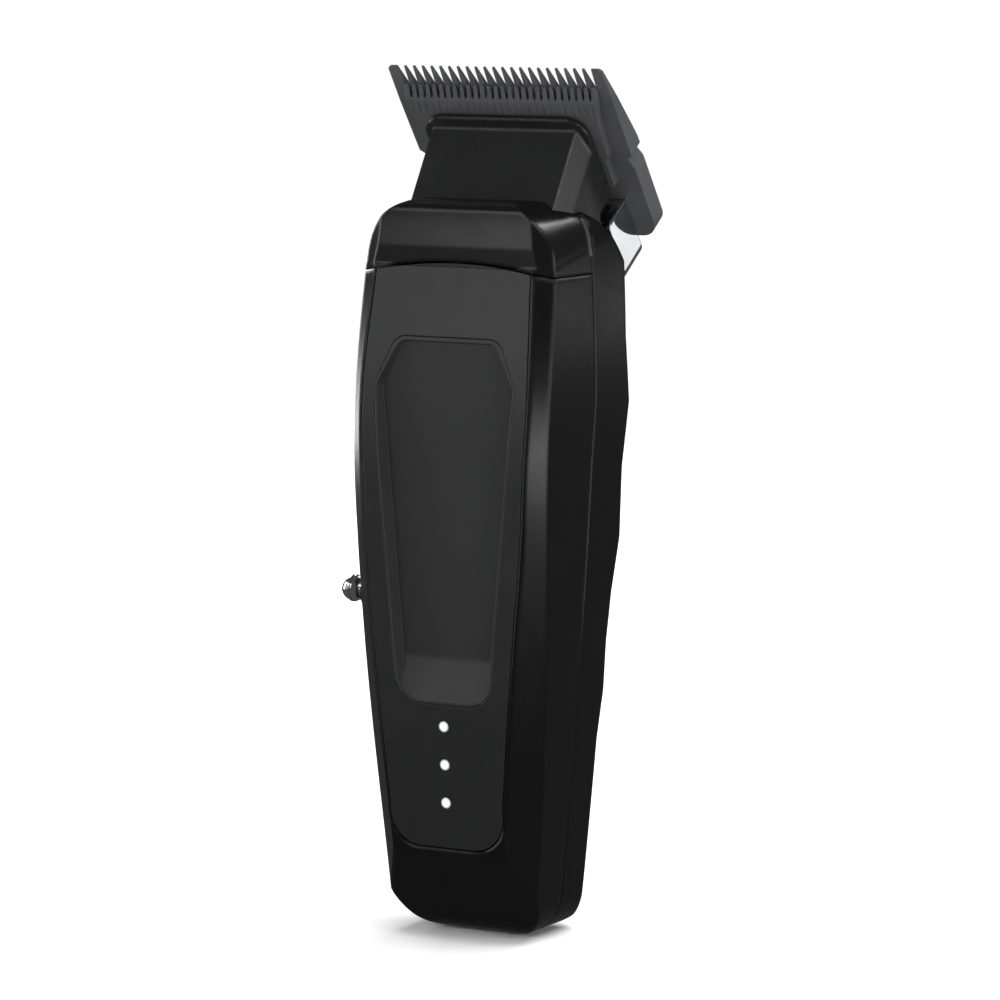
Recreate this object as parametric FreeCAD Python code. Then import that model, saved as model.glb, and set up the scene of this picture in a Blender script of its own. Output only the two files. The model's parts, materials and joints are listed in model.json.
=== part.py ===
import FreeCAD, Part
import math
import os
from FreeCAD import Placement, Rotation
from FreeCAD import Vector as V

# Cordless hair clipper standing on its foot.  Millimetres; +X is the clipper's right side seen
# from its face, +Y points to its back, +Z is up.  The origin is the middle of the foot's plane.

# ---------------------------------------------------------------- driving dimensions: housing
HOUSING_TOP = 135.7          # height of the cap above the foot
HALF_WIDTH = 20.5            # at the widest section
FRONT_REACH = 17.95          # from the origin to the foremost point of the face
REAR_REACH = 19.2            # from the origin to the rearmost facet
WALL = 2.2                   # all three shells
SEAM_GAP = 0.14              # hairline between front and rear shells
CAP_GAP = 0.26               # line between the cap and the front cover
REAR_BEVEL = (5.0, 4.0)      # width across X and depth along Y

# section heights: below the waist from the foot, above it from the housing's top
# (height, side inset, face-edge inset, face inset, bevel depth)
LOWER_SECTIONS = [
    (0.0, 5.7, 4.6, 1.65, 6.0),
    (26.0, 3.3, 4.9, 1.35, 5.1),
    (50.0, 1.55, 4.45, 0.2, 4.55),
    (75.0, 0.5, 3.4, 0.0, 3.25),
]
UPPER_SECTIONS = [
    (-35.7, 0.0, 2.95, 0.65, 2.8),
    (-14.7, 0.45, 3.35, 3.85, 2.4),
    (1.3, 1.6, 3.8, 4.95, 2.0),
]
# facets of the back: (height, inset of the rear from REAR_REACH)
LOWER_FACETS = [(-1.0, 8.6), (10.0, 8.1), (36.0, 7.45), (45.0, 6.15), (54.0, 6.1), (63.0, 4.9), (73.0, 2.5)]
UPPER_FACETS = [(-49.7, 2.3), (-37.7, 0.0), (-25.7, 1.1), (2.0, 0.4)]
# parting line between front and rear shells: (height, y)
LOWER_PARTING = [(-5.0, -1.4), (45.0, -1.2), (64.0, -0.3)]
UPPER_PARTING = [(-47.7, 1.1), (-35.7, 2.4), (5.0, 1.9)]

FOOT_CORNER = 8.5            # radius at both sides of the foot
FOOT_FRONT = -5.0            # front end of the flat foot
FOOT_REAR_ROUND = 6.5
CHIN_TOP = 17.2              # height where the face turns into the chin
CHIN_BACK = (-11.2, 8.5)     # y and height of the chin's lower end
TOP_CORNERS = (15.0, 3.4)    # front view radius of the top's corners, far in front and far behind
TOP_CORNER_REACH = 25.0      # y of both
SHOULDER_RADIUS = 27.0       # side view radius behind the head
CAP_BROW = 2.6               # radius over the cap's face
CAP_SLOPE = 0.43             # climb from the brow to the crown
CAP_CROWN = 4.0              # radius where the climb ends

CAP_SEAM_DROP = 11.2         # below the housing's top, on the centre line
CAP_SEAM_RADIUS = 86.0

# ---------------------------------------------------------------- face plate and thumb panel
PLATE = 1.0                  # thickness of the face plate
PLATE_MARGIN = 0.5           # from the plate's rim to the bevel
PLATE_GROOVE = 0.22          # groove round the plate
PLATE_BOTTOM = 17.6
PLATE_CORNER = 7.5
PANEL_FLOOR = -15.4          # y of the flat panel floor
PANEL_THICK = 1.0
PANEL_TOP_DROP = 24.7        # panel's top edge below the housing's top
PANEL_WIDE_DROP = 33.5
PANEL_TOP_HALF = 10.6
PANEL_WIDE_HALF = 14.75
PANEL_LOW_HALF = 9.7
PANEL_RIM = 0.2              # thickness of the panel's edge at the face
PANEL_DRAFT = 0.25           # its walls lean in this much per millimetre of depth
PANEL_LOW = 44.3
PANEL_RAMP_TOP = 52.5
PANEL_LIP = 0.12             # clearance round the panel
PANEL_BACKING = 1.15         # front cover behind the panel
PANEL_RIDGE = 1.2            # and round it

# ---------------------------------------------------------------- lights
LIGHT_HEIGHTS = (26.0, 33.1, 40.2)
LIGHT_DIAMETER = 2.0
FIT = 0.05                   # radial clearance of fixed fits

# ---------------------------------------------------------------- head and blades
BLADE_TIP = (0.5, 23.4)      # y of the blade's tip, height above the housing's top
BLADE_LEAN = 36.0            # degrees the blade leans from upright, tip to the front
FIXED_HALF = 22.6
FIXED_HEEL_HALF = 22.2
FIXED_LENGTH = 38.6
FIXED_THICK = 4.0
FIXED_TIP_THICK = 0.35
FIXED_WEDGE = 18.0           # length over which the blade thins to its tip
FIXED_PITCH = 1.87
FIXED_GAPS = 22
FIXED_GAP_DEPTH = 6.0
MOVING_HALF = 20.4
MOVING_TIP = 4.0             # tips lie this far behind the fixed tips at rest
MOVING_END = 26.0
MOVING_THICK = 1.75
MOVING_PITCH = 1.45
MOVING_GAPS = 27
MOVING_GAP_DEPTH = 2.3
BLADE_FILM = 0.05            # between the two blades
STROKE = 1.0                 # each way
TAPER_TRAVEL = 2.2           # of the bracket with the fixed blade

NECK_LEAN = 31.4
NECK_FOOT = (-3.3, -0.8)     # y of the neck's face, height from the housing's top
NECK_FACE_HALF = 15.1
NECK_HALF = 16.75
NECK_BEVEL_DEPTH = 5.3
NECK_WALL = 1.4
NECK_SINK = 4.0              # the neck's front edge lies this far under the housing's top
NECK_SINK_REAR = 9.0         # and its sides behind, where the shoulder falls
NECK_SINK_RAMP = (0.5, 5.0)  # y between both
NECK_RIM_OUT = 0.35
NECK_RIM_START = 9.3         # along the blade from its tip
NECK_RIM_END = 28.0
NECK_RIM_THICK = 0.9
NECK_TAIL = 11.0             # y behind which the neck is cut low for the bracket
NECK_TO_BLADE = 2.35         # neck's rim from the blades' common plane

BRACKET_HALF = 18.0
BRACKET_START = 30.0         # along the blade from its tip
BRACKET_END = 43.0
BRACKET_DEEP = 8.0
BRACKET_SKIN = 2.0
BRACKET_CLEAR = 0.3
BLADE_SCREW_SPAN = 9.0
BLADE_SCREW_AT = 34.6
GUIDE_SCREW_SPAN = 4.0
GUIDE_SCREW_AT = 37.4
SCREW_M3 = 3.0
SCREW_M3_HEAD = 5.6
SCREW_SINK = 1.5             # blade screws' heads lie in the blade

YOKE_HALF = 9.0              # follower's foot on the moving blade
YOKE_THICK = 2.4
YOKE_START = 15.5
YOKE_SCREW = 2.0
YOKE_SCREW_SPAN = 6.2
YOKE_SCREW_AT = 21.0
FORK_WALL = 2.0
FORK_DROP = 3.6              # fork's top below the housing's top
SPRING_WIRE = 1.2
SPRING_GAP = 0.3             # between the wire and the yoke
SPRING_HALF = 11.2           # the wire's middle from the centre line
SPRING_END = 33.6            # end of the wire in the frame

# ---------------------------------------------------------------- taper lever
LEVER_PIVOT = (7.0, -19.7)   # y, height from the housing's top
LEVER_LENGTH = 55.06
LEVER_REST_ANGLE = -13.66    # degrees the lever points forward at rest
LEVER_SWING = 34.0
LEVER_BOSS = 0.1             # the pivot's boss stands proud of the widest section
LEVER_BOSS_DEPTH = 0.5       # and inwards of the wall
LEVER_WASHER = 0.5
LEVER_SPRING = 0.5           # spring washer inside the wall
LEVER_GAP = 0.05             # each side of a washer
LEVER_THICK = 1.6
LEVER_SHAFT = 6.0
LEVER_CAM_RADIUS = 5.8
LEVER_CAM_THICK = 1.5
LEVER_PIN = 3.0
KNOB_DIAMETER = 4.9
KNOB_STAND = 3.15            # middle of the ball from the arm's face
LEG_THICK = 2.0              # the bracket's leg
LEG_WIDTH = 3.6

# ---------------------------------------------------------------- motor and drive
MOTOR_Y = 2.0
MOTOR_TOP_DROP = 23.7
MOTOR_LENGTH = 26.0
MOTOR_DIAMETER = 24.0
MOTOR_CAN_WALL = 1.0
SHAFT_DIAMETER = 3.0
BEARING_DIAMETER = 8.0
BEARING_WIDTH = 3.0
RUNNING = 0.03               # radial clearance of shafts
AIR_GAP = 0.4
ROTOR_DIAMETER = 10.8
ROTOR_LENGTH = 15.0
CAM_DIAMETER = 8.0
CAM_THROW = 1.0
CAM_PIN = 2.4
CAM_PIN_LENGTH = 11.0
CAM_HUB_LENGTH = 6.0
CAM_LIFT = 0.6               # hub above the frame's plate
FORK_HEIGHT = 5.0
MOTOR_SCREW_SPAN = 8.0

# ---------------------------------------------------------------- frame above the motor
FRAME_PLATE = 2.5
FRAME_LEFT = 12.6            # the plate stops here, clear of the lever's disc
FRAME_FOOT_BACK = -3.6       # its left foot reaches this far back
PAD_SPAN = (1.6, 12.5)       # inner and outer edge of both sloping pads
PAD_FRONT = 8.8              # y of the pads' legs
PAD_REAR = 15.6
PAD_SLIDE = 0.1              # between the pads and the bracket's underside
POST_AT = (12.2, -4.5)       # the neck's posts
POST_DIAMETER = 4.6
WINDOW_HALF = 15.9           # opening in the rear cover for the pads and the bracket's leg
WINDOW_SPAN = (31.0, 39.2)   # along the blade from its tip
WINDOW_DEEP = 6.0

# ---------------------------------------------------------------- battery and electronics
CELL_DIAMETER = 18.4
CELL_LENGTH = 65.2
CELL_Y = -1.6
CELL_BOTTOM = 14.0
CRADLE = 0.8
CRADLE_RIBS = (19.0, 37.6, 55.6)
CRADLE_RIB = 2.4
CRADLE_RIB_HALF = 5.0
TAB = 0.2                    # nickel strip
BOARD_FRONT = -12.9
BOARD_THICK = 1.0
BOARD_HALF = 9.0
BOARD_SPAN = (22.0, 76.0)
PORT_WIDTH = 9.0
PORT_HEIGHT = 3.3
PORT_LENGTH = 7.3
PORT_Y = 1.0

# ---------------------------------------------------------------- power switch
SWITCH_HEIGHT = 79.5
SWITCH_TRAVEL = 3.0
SWITCH_PAD = (7.0, 6.6, 1.5)     # across, along and thickness
SWITCH_STEM = (3.6, 4.0)
SWITCH_CLEAR = 0.3
SWITCH_BODY_HALF = 4.2
SWITCH_BOARD_HALF = 5.6

# ---------------------------------------------------------------- clips of the cap
CLIP_THICK = 0.7
CLIP_SPAN = (-10.2, -3.4)    # from the housing's top

# ---------------------------------------------------------------- housing screws
SCREW_DIAMETER = 2.0
SCREW_HEAD = 3.6
BOSS_DIAMETER = 4.0
LOW_SCREWS = (12.35, 20.0)
HIGH_SCREWS = (13.4, 83.0)

FAR = 60.0                   # beyond every face of the housing

# ---------------------------------------------------------------- places that follow from these
MOTOR_TOP = HOUSING_TOP - MOTOR_TOP_DROP
MOTOR_BOTTOM = MOTOR_TOP - MOTOR_LENGTH
MOTOR_SCREWS = (-MOTOR_SCREW_SPAN, MOTOR_SCREW_SPAN)
CAM_BOTTOM = MOTOR_TOP + FRAME_PLATE + CAM_LIFT
FORK_TOP = HOUSING_TOP - FORK_DROP
MOVING_FACE = -BLADE_FILM - MOVING_THICK
YOKE_FACE = MOVING_FACE - YOKE_THICK
SPRING_LEVEL = YOKE_FACE - SPRING_GAP - SPRING_WIRE / 2
YOKE_SCREWS = (-YOKE_SCREW_SPAN, YOKE_SCREW_SPAN)
GUIDE_SCREWS = (-GUIDE_SCREW_SPAN, GUIDE_SCREW_SPAN)
BLADE_SCREWS = (-BLADE_SCREW_SPAN, BLADE_SCREW_SPAN)
LEVER_SIDE = HALF_WIDTH + LEVER_BOSS
LEVER_INNER = HALF_WIDTH - WALL - LEVER_BOSS_DEPTH
LEVER_THROW = TAPER_TRAVEL / (2 * math.sin(math.radians(LEVER_SWING / 2)))
LEVER_CAM_OUTER = LEVER_INNER - LEVER_SPRING - LEVER_GAP
LEVER_CAM_INNER = LEVER_CAM_OUTER - LEVER_CAM_THICK


# ================================================================ drawing helpers
def outline(corners, place):
    """Closed wire through corners (p, q, radius), each corner rounded by its radius."""
    count = len(corners)
    trims = []
    for i in range(count):
        before, here, after = corners[i - 1], corners[i], corners[(i + 1) % count]
        p = V(here[0], here[1], 0)
        to_before = V(before[0], before[1], 0).sub(p)
        to_after = V(after[0], after[1], 0).sub(p)
        to_before.normalize()
        to_after.normalize()
        radius = here[2] if len(here) > 2 else 0.0
        if radius <= 0:
            trims.append((p, None, p))
            continue
        half = math.acos(max(-1.0, min(1.0, to_before.dot(to_after)))) / 2
        reach = radius / math.tan(half)
        bisector = to_before.add(to_after)
        bisector.normalize()
        centre = p.add(bisector.multiply(radius / math.sin(half)))
        middle = p.sub(centre)
        middle.normalize()
        middle = centre.add(middle.multiply(radius))
        trims.append((p.add(to_before.multiply(reach)), middle, p.add(to_after.multiply(reach))))
    edges = []
    for i in range(count):
        start, middle, end = trims[i]
        if middle is not None:
            edges.append(Part.Arc(place(start), place(middle), place(end)).toShape())
        following = trims[(i + 1) % count][0]
        if end.sub(following).Length > 1e-6:
            edges.append(Part.LineSegment(place(end), place(following)).toShape())
    return Part.Wire(edges)


def along_x(corners, x0, x1):
    """Prism from (y, z, radius) corners between two X planes."""
    wire = outline(corners, lambda p: V(x0, p.x, p.y))
    return Part.Face(wire).extrude(V(x1 - x0, 0, 0))


def along_y(corners, y0, y1):
    """Prism from (x, z, radius) corners between two Y planes."""
    wire = outline(corners, lambda p: V(p.x, y0, p.y))
    return Part.Face(wire).extrude(V(0, y1 - y0, 0))


def along_z(corners, z0, z1):
    """Prism from (x, y, radius) corners between two Z planes."""
    wire = outline(corners, lambda p: V(p.x, p.y, z0))
    return Part.Face(wire).extrude(V(0, 0, z1 - z0))


def block(x0, x1, y0, y1, z0, z1):
    return Part.makeBox(x1 - x0, y1 - y0, z1 - z0, V(x0, y0, z0))


def rod(diameter, start, end):
    axis = end.sub(start)
    return Part.makeCylinder(diameter / 2, axis.Length, start, axis)


def union(shapes):
    first, rest = shapes[0], shapes[1:]
    return first.fuse(rest).removeSplitter() if rest else first


def mirror_x(shape):
    return shape.mirror(V(0, 0, 0), V(1, 0, 0))


def both_sides(shape):
    return [shape, mirror_x(shape)]


def rectangle(p0, p1, q0, q1, radius=0.0):
    return [(p0, q0, radius), (p1, q0, radius), (p1, q1, radius), (p0, q1, radius)]


# ================================================================ housing form
def heights(lower, upper):
    """Rows measured from the foot, followed by rows measured from the housing's top."""
    return list(lower) + [(HOUSING_TOP + row[0],) + tuple(row[1:]) for row in upper]


SECTIONS = heights(LOWER_SECTIONS, UPPER_SECTIONS)
FACETS = heights(LOWER_FACETS, UPPER_FACETS)
PARTING = heights(LOWER_PARTING, UPPER_PARTING)


def between(rows, z, column):
    """Straight-line value of one column at height z."""
    for low, high in zip(rows, rows[1:]):
        if z <= high[0]:
            share = (z - low[0]) / (high[0] - low[0])
            return low[column] + share * (high[column] - low[column])
    return rows[-1][column]


def half_width(z):
    return HALF_WIDTH - between(SECTIONS, z, 1)


def face_half(z):
    return half_width(z) - between(SECTIONS, z, 2)


def face_y(z):
    return -FRONT_REACH + between(SECTIONS, z, 3)


def rear_y(z):
    return REAR_REACH - between(FACETS, z, 1)


def section(row, inset):
    """Half section of the front: side, bevel and face, moved inwards by inset."""
    z, side_in, edge_in, face_in, bevel = row
    side = HALF_WIDTH - side_in
    face = -FRONT_REACH + face_in
    length = math.hypot(edge_in, bevel)
    across, back = bevel / length, -edge_in / length
    reach = side * across + (face + bevel) * back - inset
    bevel_y = (reach - (side - inset) * across) / back
    edge_x = (reach - (face + inset) * back) / across
    points = [(side - inset, FAR), (side - inset, bevel_y), (edge_x, face + inset)]
    points += [(-x, y) for x, y in reversed(points)]
    return Part.makePolygon([V(x, y, z) for x, y in points + points[:1]])


def facet_section(row, inset):
    """Rear facet with its two bevels, moved inwards by inset."""
    z, rear_in = row
    rear = REAR_REACH - rear_in
    wide, deep = REAR_BEVEL
    slope = deep / wide
    shift = inset * math.hypot(1, slope)
    edge = half_width(z) - wide
    outer = HALF_WIDTH + 4
    points = [
        (outer, -FAR),
        (outer, rear - (outer - edge) * slope - shift),
        (edge + (inset - shift) / slope, rear - inset),
    ]
    points += [(-x, y) for x, y in reversed(points)]
    return Part.makePolygon([V(x, y, z) for x, y in points + points[:1]])


def front_outline(inset, y, top_corner):
    """Foot and top seen from the front, with the radius of the top's corners at this y."""
    low, high = inset, HOUSING_TOP - inset
    foot = half_width(0) - inset
    foot_up = half_width(FOOT_CORNER * 2) - inset
    top = half_width(HOUSING_TOP) - inset
    top_down = half_width(HOUSING_TOP - top_corner * 2) - inset
    spread = 0.08
    foot_slope = (foot_up - foot) / (FOOT_CORNER * 2)
    top_slope = (top_down - top) / (top_corner * 2)
    right = [
        (foot + spread, low, FOOT_CORNER - inset),
        (foot + spread + foot_slope * FOOT_CORNER, low + FOOT_CORNER, 0),
        (FAR, HOUSING_TOP / 2, 0),
        (top + spread + top_slope * top_corner, high - top_corner, 0),
        (top + spread, high, top_corner - inset),
    ]
    left = [(-x, z, r) for x, z, r in reversed(right)]
    return outline(right + left, lambda p: V(p.x, y, p.y))


def front_view(inset):
    """Rounded foot and top: the top's corners get tighter from front to back."""
    reach = TOP_CORNER_REACH
    wires = [front_outline(inset, y, corner) for y, corner in zip((-reach, reach), TOP_CORNERS)]
    return Part.makeLoft(wires, True, True)


def side_view(inset):
    """Foot, chin, cap brow and rear shoulder as seen from the side."""
    low, high = inset, HOUSING_TOP - inset
    chin_y, chin_z = CHIN_BACK
    chin_run = (face_y(CHIN_TOP) - chin_y) / (CHIN_TOP - chin_z)
    shift = inset * math.hypot(1, chin_run)
    chin_out = chin_y + chin_run * (CHIN_TOP + 14 - chin_z) + shift
    brow = face_y(HOUSING_TOP - 2) + inset
    foot_rear = rear_y(0) - inset
    rear = rear_y(HOUSING_TOP) - inset
    crown_y = rear_y(HOUSING_TOP) - SHOULDER_RADIUS - 1.5
    return along_x([
        (FOOT_FRONT + inset / 2, low, 6.0 - inset),
        (chin_y + shift, chin_z, 8.0),
        (chin_out, CHIN_TOP + 14, 0),
        (-FAR, HOUSING_TOP / 2, 0),
        (-FAR, HOUSING_TOP - 20, 0),
        (brow, HOUSING_TOP - 12, 0),
        (brow, high - CAP_SLOPE * (crown_y - brow), CAP_BROW - 0.8 * inset),
        (crown_y, high, CAP_CROWN - inset),
        (rear + 0.05, high, SHOULDER_RADIUS - inset),
        (rear + 0.05, HOUSING_TOP - SHOULDER_RADIUS - 1, 0),
        (FAR, HOUSING_TOP - 40, 0),
        (FAR, 12, 0),
        (foot_rear + 0.05, FOOT_REAR_ROUND + inset + 0.6, 0),
        (foot_rear + 0.05, low, FOOT_REAR_ROUND),
    ], -FAR, FAR)


def housing_form(inset=0.0):
    """The housing's closed outer form, moved inwards by inset."""
    smooth = Part.makeLoft([section(row, inset) for row in SECTIONS], True, False)
    facets = Part.makeLoft([facet_section(row, inset) for row in FACETS], True, True)
    return smooth.common(facets).common(front_view(inset)).common(side_view(inset))


def parting_prism(offset, front):
    """Everything in front of (or behind) the parting line moved by offset along Y."""
    line = [(y + offset, z) for z, y in PARTING]
    far = -FAR if front else FAR
    return along_x(line + [(far, PARTING[-1][0]), (far, PARTING[0][0])], -FAR, FAR)


def cap_seam_z(x, offset=0.0):
    crown = HOUSING_TOP - CAP_SEAM_DROP + offset
    return crown - CAP_SEAM_RADIUS + math.sqrt(CAP_SEAM_RADIUS ** 2 - x ** 2)


def above_cap_seam(offset, y0=-FAR, y1=FAR, reach=30.0):
    """Everything above the arched cap seam moved by offset along Z."""
    points = [V(x, y0, cap_seam_z(x, offset)) for x in (-reach, 0, reach)]
    arc = Part.Arc(*points).toShape()
    top = V(0, 0, 60)
    sides = Part.makePolygon([points[2], points[2] + top, points[0] + top, points[0]])
    return Part.Face(Part.Wire([arc] + sides.Edges)).extrude(V(0, y1 - y0, 0))


def plate_prism(grow, y0=-FAR, y1=0.0):
    """Front view of the face plate, grown all round."""
    low = PLATE_BOTTOM - grow
    top_z = HOUSING_TOP - CAP_SEAM_DROP
    inset = PLATE_MARGIN - grow
    corner = face_half(low + PLATE_CORNER) - inset
    corner_z = low + PLATE_CORNER
    rows = (38.0, 50.0, 62.0, 75.0, HOUSING_TOP - 48, HOUSING_TOP - 35.7, HOUSING_TOP - 22)
    right = [V(corner, y0, corner_z)] + [V(face_half(z) - inset, y0, z) for z in rows]
    right.append(V(face_half(top_z) - inset, y0, top_z + 4))
    curve = Part.BSplineCurve()
    curve.interpolate(right)
    left_curve = Part.BSplineCurve()
    left_curve.interpolate([V(-p.x, p.y, p.z) for p in right])
    foot = corner - PLATE_CORNER + 1.0
    bend = V(corner - 1.6, y0, low + 2.0)
    arc = Part.Arc(right[0], bend, V(foot, y0, low)).toShape()
    left_arc = Part.Arc(V(-foot, y0, low), V(-bend.x, y0, bend.z), V(-corner, y0, corner_z)).toShape()
    base = Part.LineSegment(V(foot, y0, low), V(-foot, y0, low)).toShape()
    top = Part.LineSegment(V(-right[-1].x, y0, right[-1].z), right[-1]).toShape()
    wire = Part.Wire([curve.toShape(), arc, base, left_arc, left_curve.toShape(), top])
    return Part.Face(wire).extrude(V(0, y1 - y0, 0))


def panel_outline(grow):
    top = HOUSING_TOP - PANEL_TOP_DROP + grow
    wide = HOUSING_TOP - PANEL_WIDE_DROP
    right = [
        (PANEL_LOW_HALF + grow, PANEL_LOW - grow, 5.0 + grow),
        (PANEL_WIDE_HALF + grow, wide, 4.0 + grow),
        (PANEL_TOP_HALF + grow, top, 3.0 + grow),
    ]
    return right + [(-x, z, r) for x, z, r in reversed(right)]


def panel_floor(offset, y1=0.0):
    """Everything behind the panel's floor: a flat channel that ramps out at its foot."""
    slope = (face_y(PANEL_LOW) - PANEL_FLOOR) / (PANEL_RAMP_TOP - PANEL_LOW)
    low = PANEL_LOW - 3
    return along_x([
        (PANEL_FLOOR + offset, HOUSING_TOP),
        (y1, HOUSING_TOP),
        (y1, low),
        (PANEL_FLOOR + slope * (PANEL_RAMP_TOP - low) + offset, low),
        (PANEL_FLOOR + offset, PANEL_RAMP_TOP, 4.0),
    ], -FAR, FAR)


def panel_backing(grow):
    """The front cover's material round and behind the panel's bed."""
    depth = PANEL_FLOOR + 8
    backing = along_y(panel_outline(PANEL_LIP + PANEL_RIDGE + grow), -FAR, depth)
    return backing.cut(panel_floor(PANEL_THICK + 0.05 + PANEL_BACKING + grow, depth))


# ================================================================ head frame of reference
TO_HEAD = Placement(V(0, BLADE_TIP[0], HOUSING_TOP + BLADE_TIP[1]), Rotation(V(1, 0, 0), BLADE_LEAN - 90))


def on_head(shape):
    """Place a shape drawn in blade axes: x, u along the slope from the tip, v towards the back."""
    shape = shape.copy()
    shape.Placement = TO_HEAD.multiply(shape.Placement)
    return shape


def head_point(x, u, v):
    return TO_HEAD.multVec(V(x, u, v))


def head_profile(corners, half):
    """Prism across X from (u, v, radius) corners."""
    wire = outline(corners, lambda p: V(-half, p.x, p.y))
    return Part.Face(wire).extrude(V(2 * half, 0, 0))


def head_plan(corners, v0, v1):
    """Prism along v from (x, u, radius) corners."""
    wire = outline(corners, lambda p: V(p.x, p.y, v0))
    return Part.Face(wire).extrude(V(0, 0, v1 - v0))


def mirrored(corners):
    return corners + [(-c[0],) + tuple(c[1:]) for c in reversed(corners)]


# ================================================================ blades
def fixed_blade():
    body = head_profile([
        (0, 0),
        (0, FIXED_TIP_THICK),
        (FIXED_WEDGE * 0.35, FIXED_THICK * 0.42, 8.0),
        (FIXED_WEDGE, FIXED_THICK, 12.0),
        (FIXED_LENGTH, FIXED_THICK, 0.8),
        (FIXED_LENGTH, 0),
    ], FIXED_HALF)
    plan = head_plan(mirrored([
        (FIXED_HALF - 0.15, 0.0, 0.8),
        (FIXED_HALF, 8.0),
        (FIXED_HALF - 0.1, 19.7),
        (FIXED_HALF - 1.1, 20.6),
        (FIXED_HALF - 0.3, 22.6),
        (FIXED_HEEL_HALF, FIXED_LENGTH, 3.2),
    ]), -1, FIXED_THICK + 1)
    body = body.common(plan)
    first = -(FIXED_GAPS - 1) / 2 * FIXED_PITCH
    wide, narrow = FIXED_PITCH * 0.43, FIXED_PITCH * 0.2
    cuts = []
    for k in range(FIXED_GAPS):
        x = first + k * FIXED_PITCH
        cuts.append(head_plan([
            (x - wide, -1), (x + wide, -1),
            (x + narrow, FIXED_GAP_DEPTH, narrow * 0.8), (x - narrow, FIXED_GAP_DEPTH, narrow * 0.8),
        ], -1, FIXED_THICK + 1))
    seat = FIXED_THICK - SCREW_SINK
    for x in BLADE_SCREWS:
        cuts.append(rod(SCREW_M3 + 2 * FIT, V(x, BLADE_SCREW_AT, -1), V(x, BLADE_SCREW_AT, 6)))
        cuts.append(rod(SCREW_M3_HEAD + 0.4, V(x, BLADE_SCREW_AT, seat), V(x, BLADE_SCREW_AT, 6)))
    hollow = rod(90, V(-FAR, 12.5, FIXED_THICK * 0.86 + 45), V(FAR, 12.5, FIXED_THICK * 0.86 + 45))
    cuts.append(hollow.common(block(-19.8, 19.8, 8.2, 17.5, 0, 50)))
    return body.cut(Part.makeCompound(cuts))


def moving_blade():
    front = MOVING_FACE
    body = head_profile([
        (MOVING_TIP, -BLADE_FILM),
        (MOVING_TIP, -BLADE_FILM - 0.3),
        (MOVING_TIP + 3.4, front, 5.0),
        (MOVING_END, front, 0.4),
        (MOVING_END, -BLADE_FILM),
    ], MOVING_HALF)
    plan = head_plan(mirrored([
        (MOVING_HALF, 0),
        (MOVING_HALF - 0.1, MOVING_TIP + 2),
        (MOVING_HALF - 1.3, 11.2),
        (MOVING_HALF - 1.7, 19.0),
        (MOVING_HALF - 2.4, 19.4),
        (MOVING_HALF - 2.4, MOVING_END, 1.0),
    ]), -6, 1)
    body = body.common(plan)
    first = -(MOVING_GAPS - 1) / 2 * MOVING_PITCH
    cuts = []
    for k in range(MOVING_GAPS):
        x = first + k * MOVING_PITCH
        wide, narrow = MOVING_PITCH * 0.36, MOVING_PITCH * 0.2
        root = MOVING_TIP + MOVING_GAP_DEPTH
        cuts.append(head_plan([
            (x - wide, MOVING_TIP - 1), (x + wide, MOVING_TIP - 1),
            (x + narrow, root), (x - narrow, root),
        ], -6, 1))
        flute = [(root - 0.5, front + 0.35), (root - 0.5, -6.0), (root + 3.6, -6.0), (root + 3.6, front)]
        wire = outline(flute, lambda p: V(x - narrow, p.x, p.y))
        cuts.append(Part.Face(wire).extrude(V(2 * narrow, 0, 0)))
    for x in YOKE_SCREWS:
        cuts.append(rod(YOKE_SCREW + 2 * FIT, V(x, YOKE_SCREW_AT, -6), V(x, YOKE_SCREW_AT, 1)))
    return body.cut(Part.makeCompound(cuts))


def cam_follower():
    """Plastic yoke: a foot on the moving blade and a fork round the motor's eccentric pin."""
    foot = on_head(head_plan(mirrored([
        (YOKE_HALF, YOKE_START, 1.2), (YOKE_HALF, MOVING_END - 0.5, 1.2),
    ]), YOKE_FACE, MOVING_FACE))
    slot_half = CAM_PIN / 2 + CAM_THROW + STROKE + 0.1
    fork_half = slot_half + FORK_WALL
    fork_low = FORK_TOP - FORK_HEIGHT
    slot_end = MOTOR_Y + CAM_THROW + CAM_PIN / 2 + 0.3
    middle = MOVING_FACE - YOKE_THICK / 2
    shoulder = head_point(0, MOVING_END - 2, middle)
    front = head_point(0, YOKE_START + 3, middle)
    arm = along_x([
        (MOTOR_Y - 3.5, fork_low),
        (slot_end + 3.4, fork_low, 1.5),
        (shoulder.y, shoulder.z),
        (front.y, front.z),
        (slot_end + 0.4, FORK_TOP, 1.5),
        (MOTOR_Y - 3.5, FORK_TOP),
    ], -fork_half, fork_half)
    slot = block(-slot_half, slot_half, MOTOR_Y - 8, slot_end, fork_low - 5, FORK_TOP + 5)
    body = union([foot, arm.cut(slot)])
    hole = YOKE_SCREW + 0.02
    holes = [on_head(rod(hole, V(x, YOKE_SCREW_AT, -9), V(x, YOKE_SCREW_AT, 0))) for x in YOKE_SCREWS]
    return body.cut(Part.makeCompound(holes))


def yoke_screws():
    """Two headless screws from the blade's contact face into the yoke."""
    screws = []
    low, high = MOVING_FACE - 1.8, -BLADE_FILM - 0.3
    for x in YOKE_SCREWS:
        screws.append(on_head(rod(YOKE_SCREW, V(x, YOKE_SCREW_AT, low), V(x, YOKE_SCREW_AT, high))))
    return screws


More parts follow.
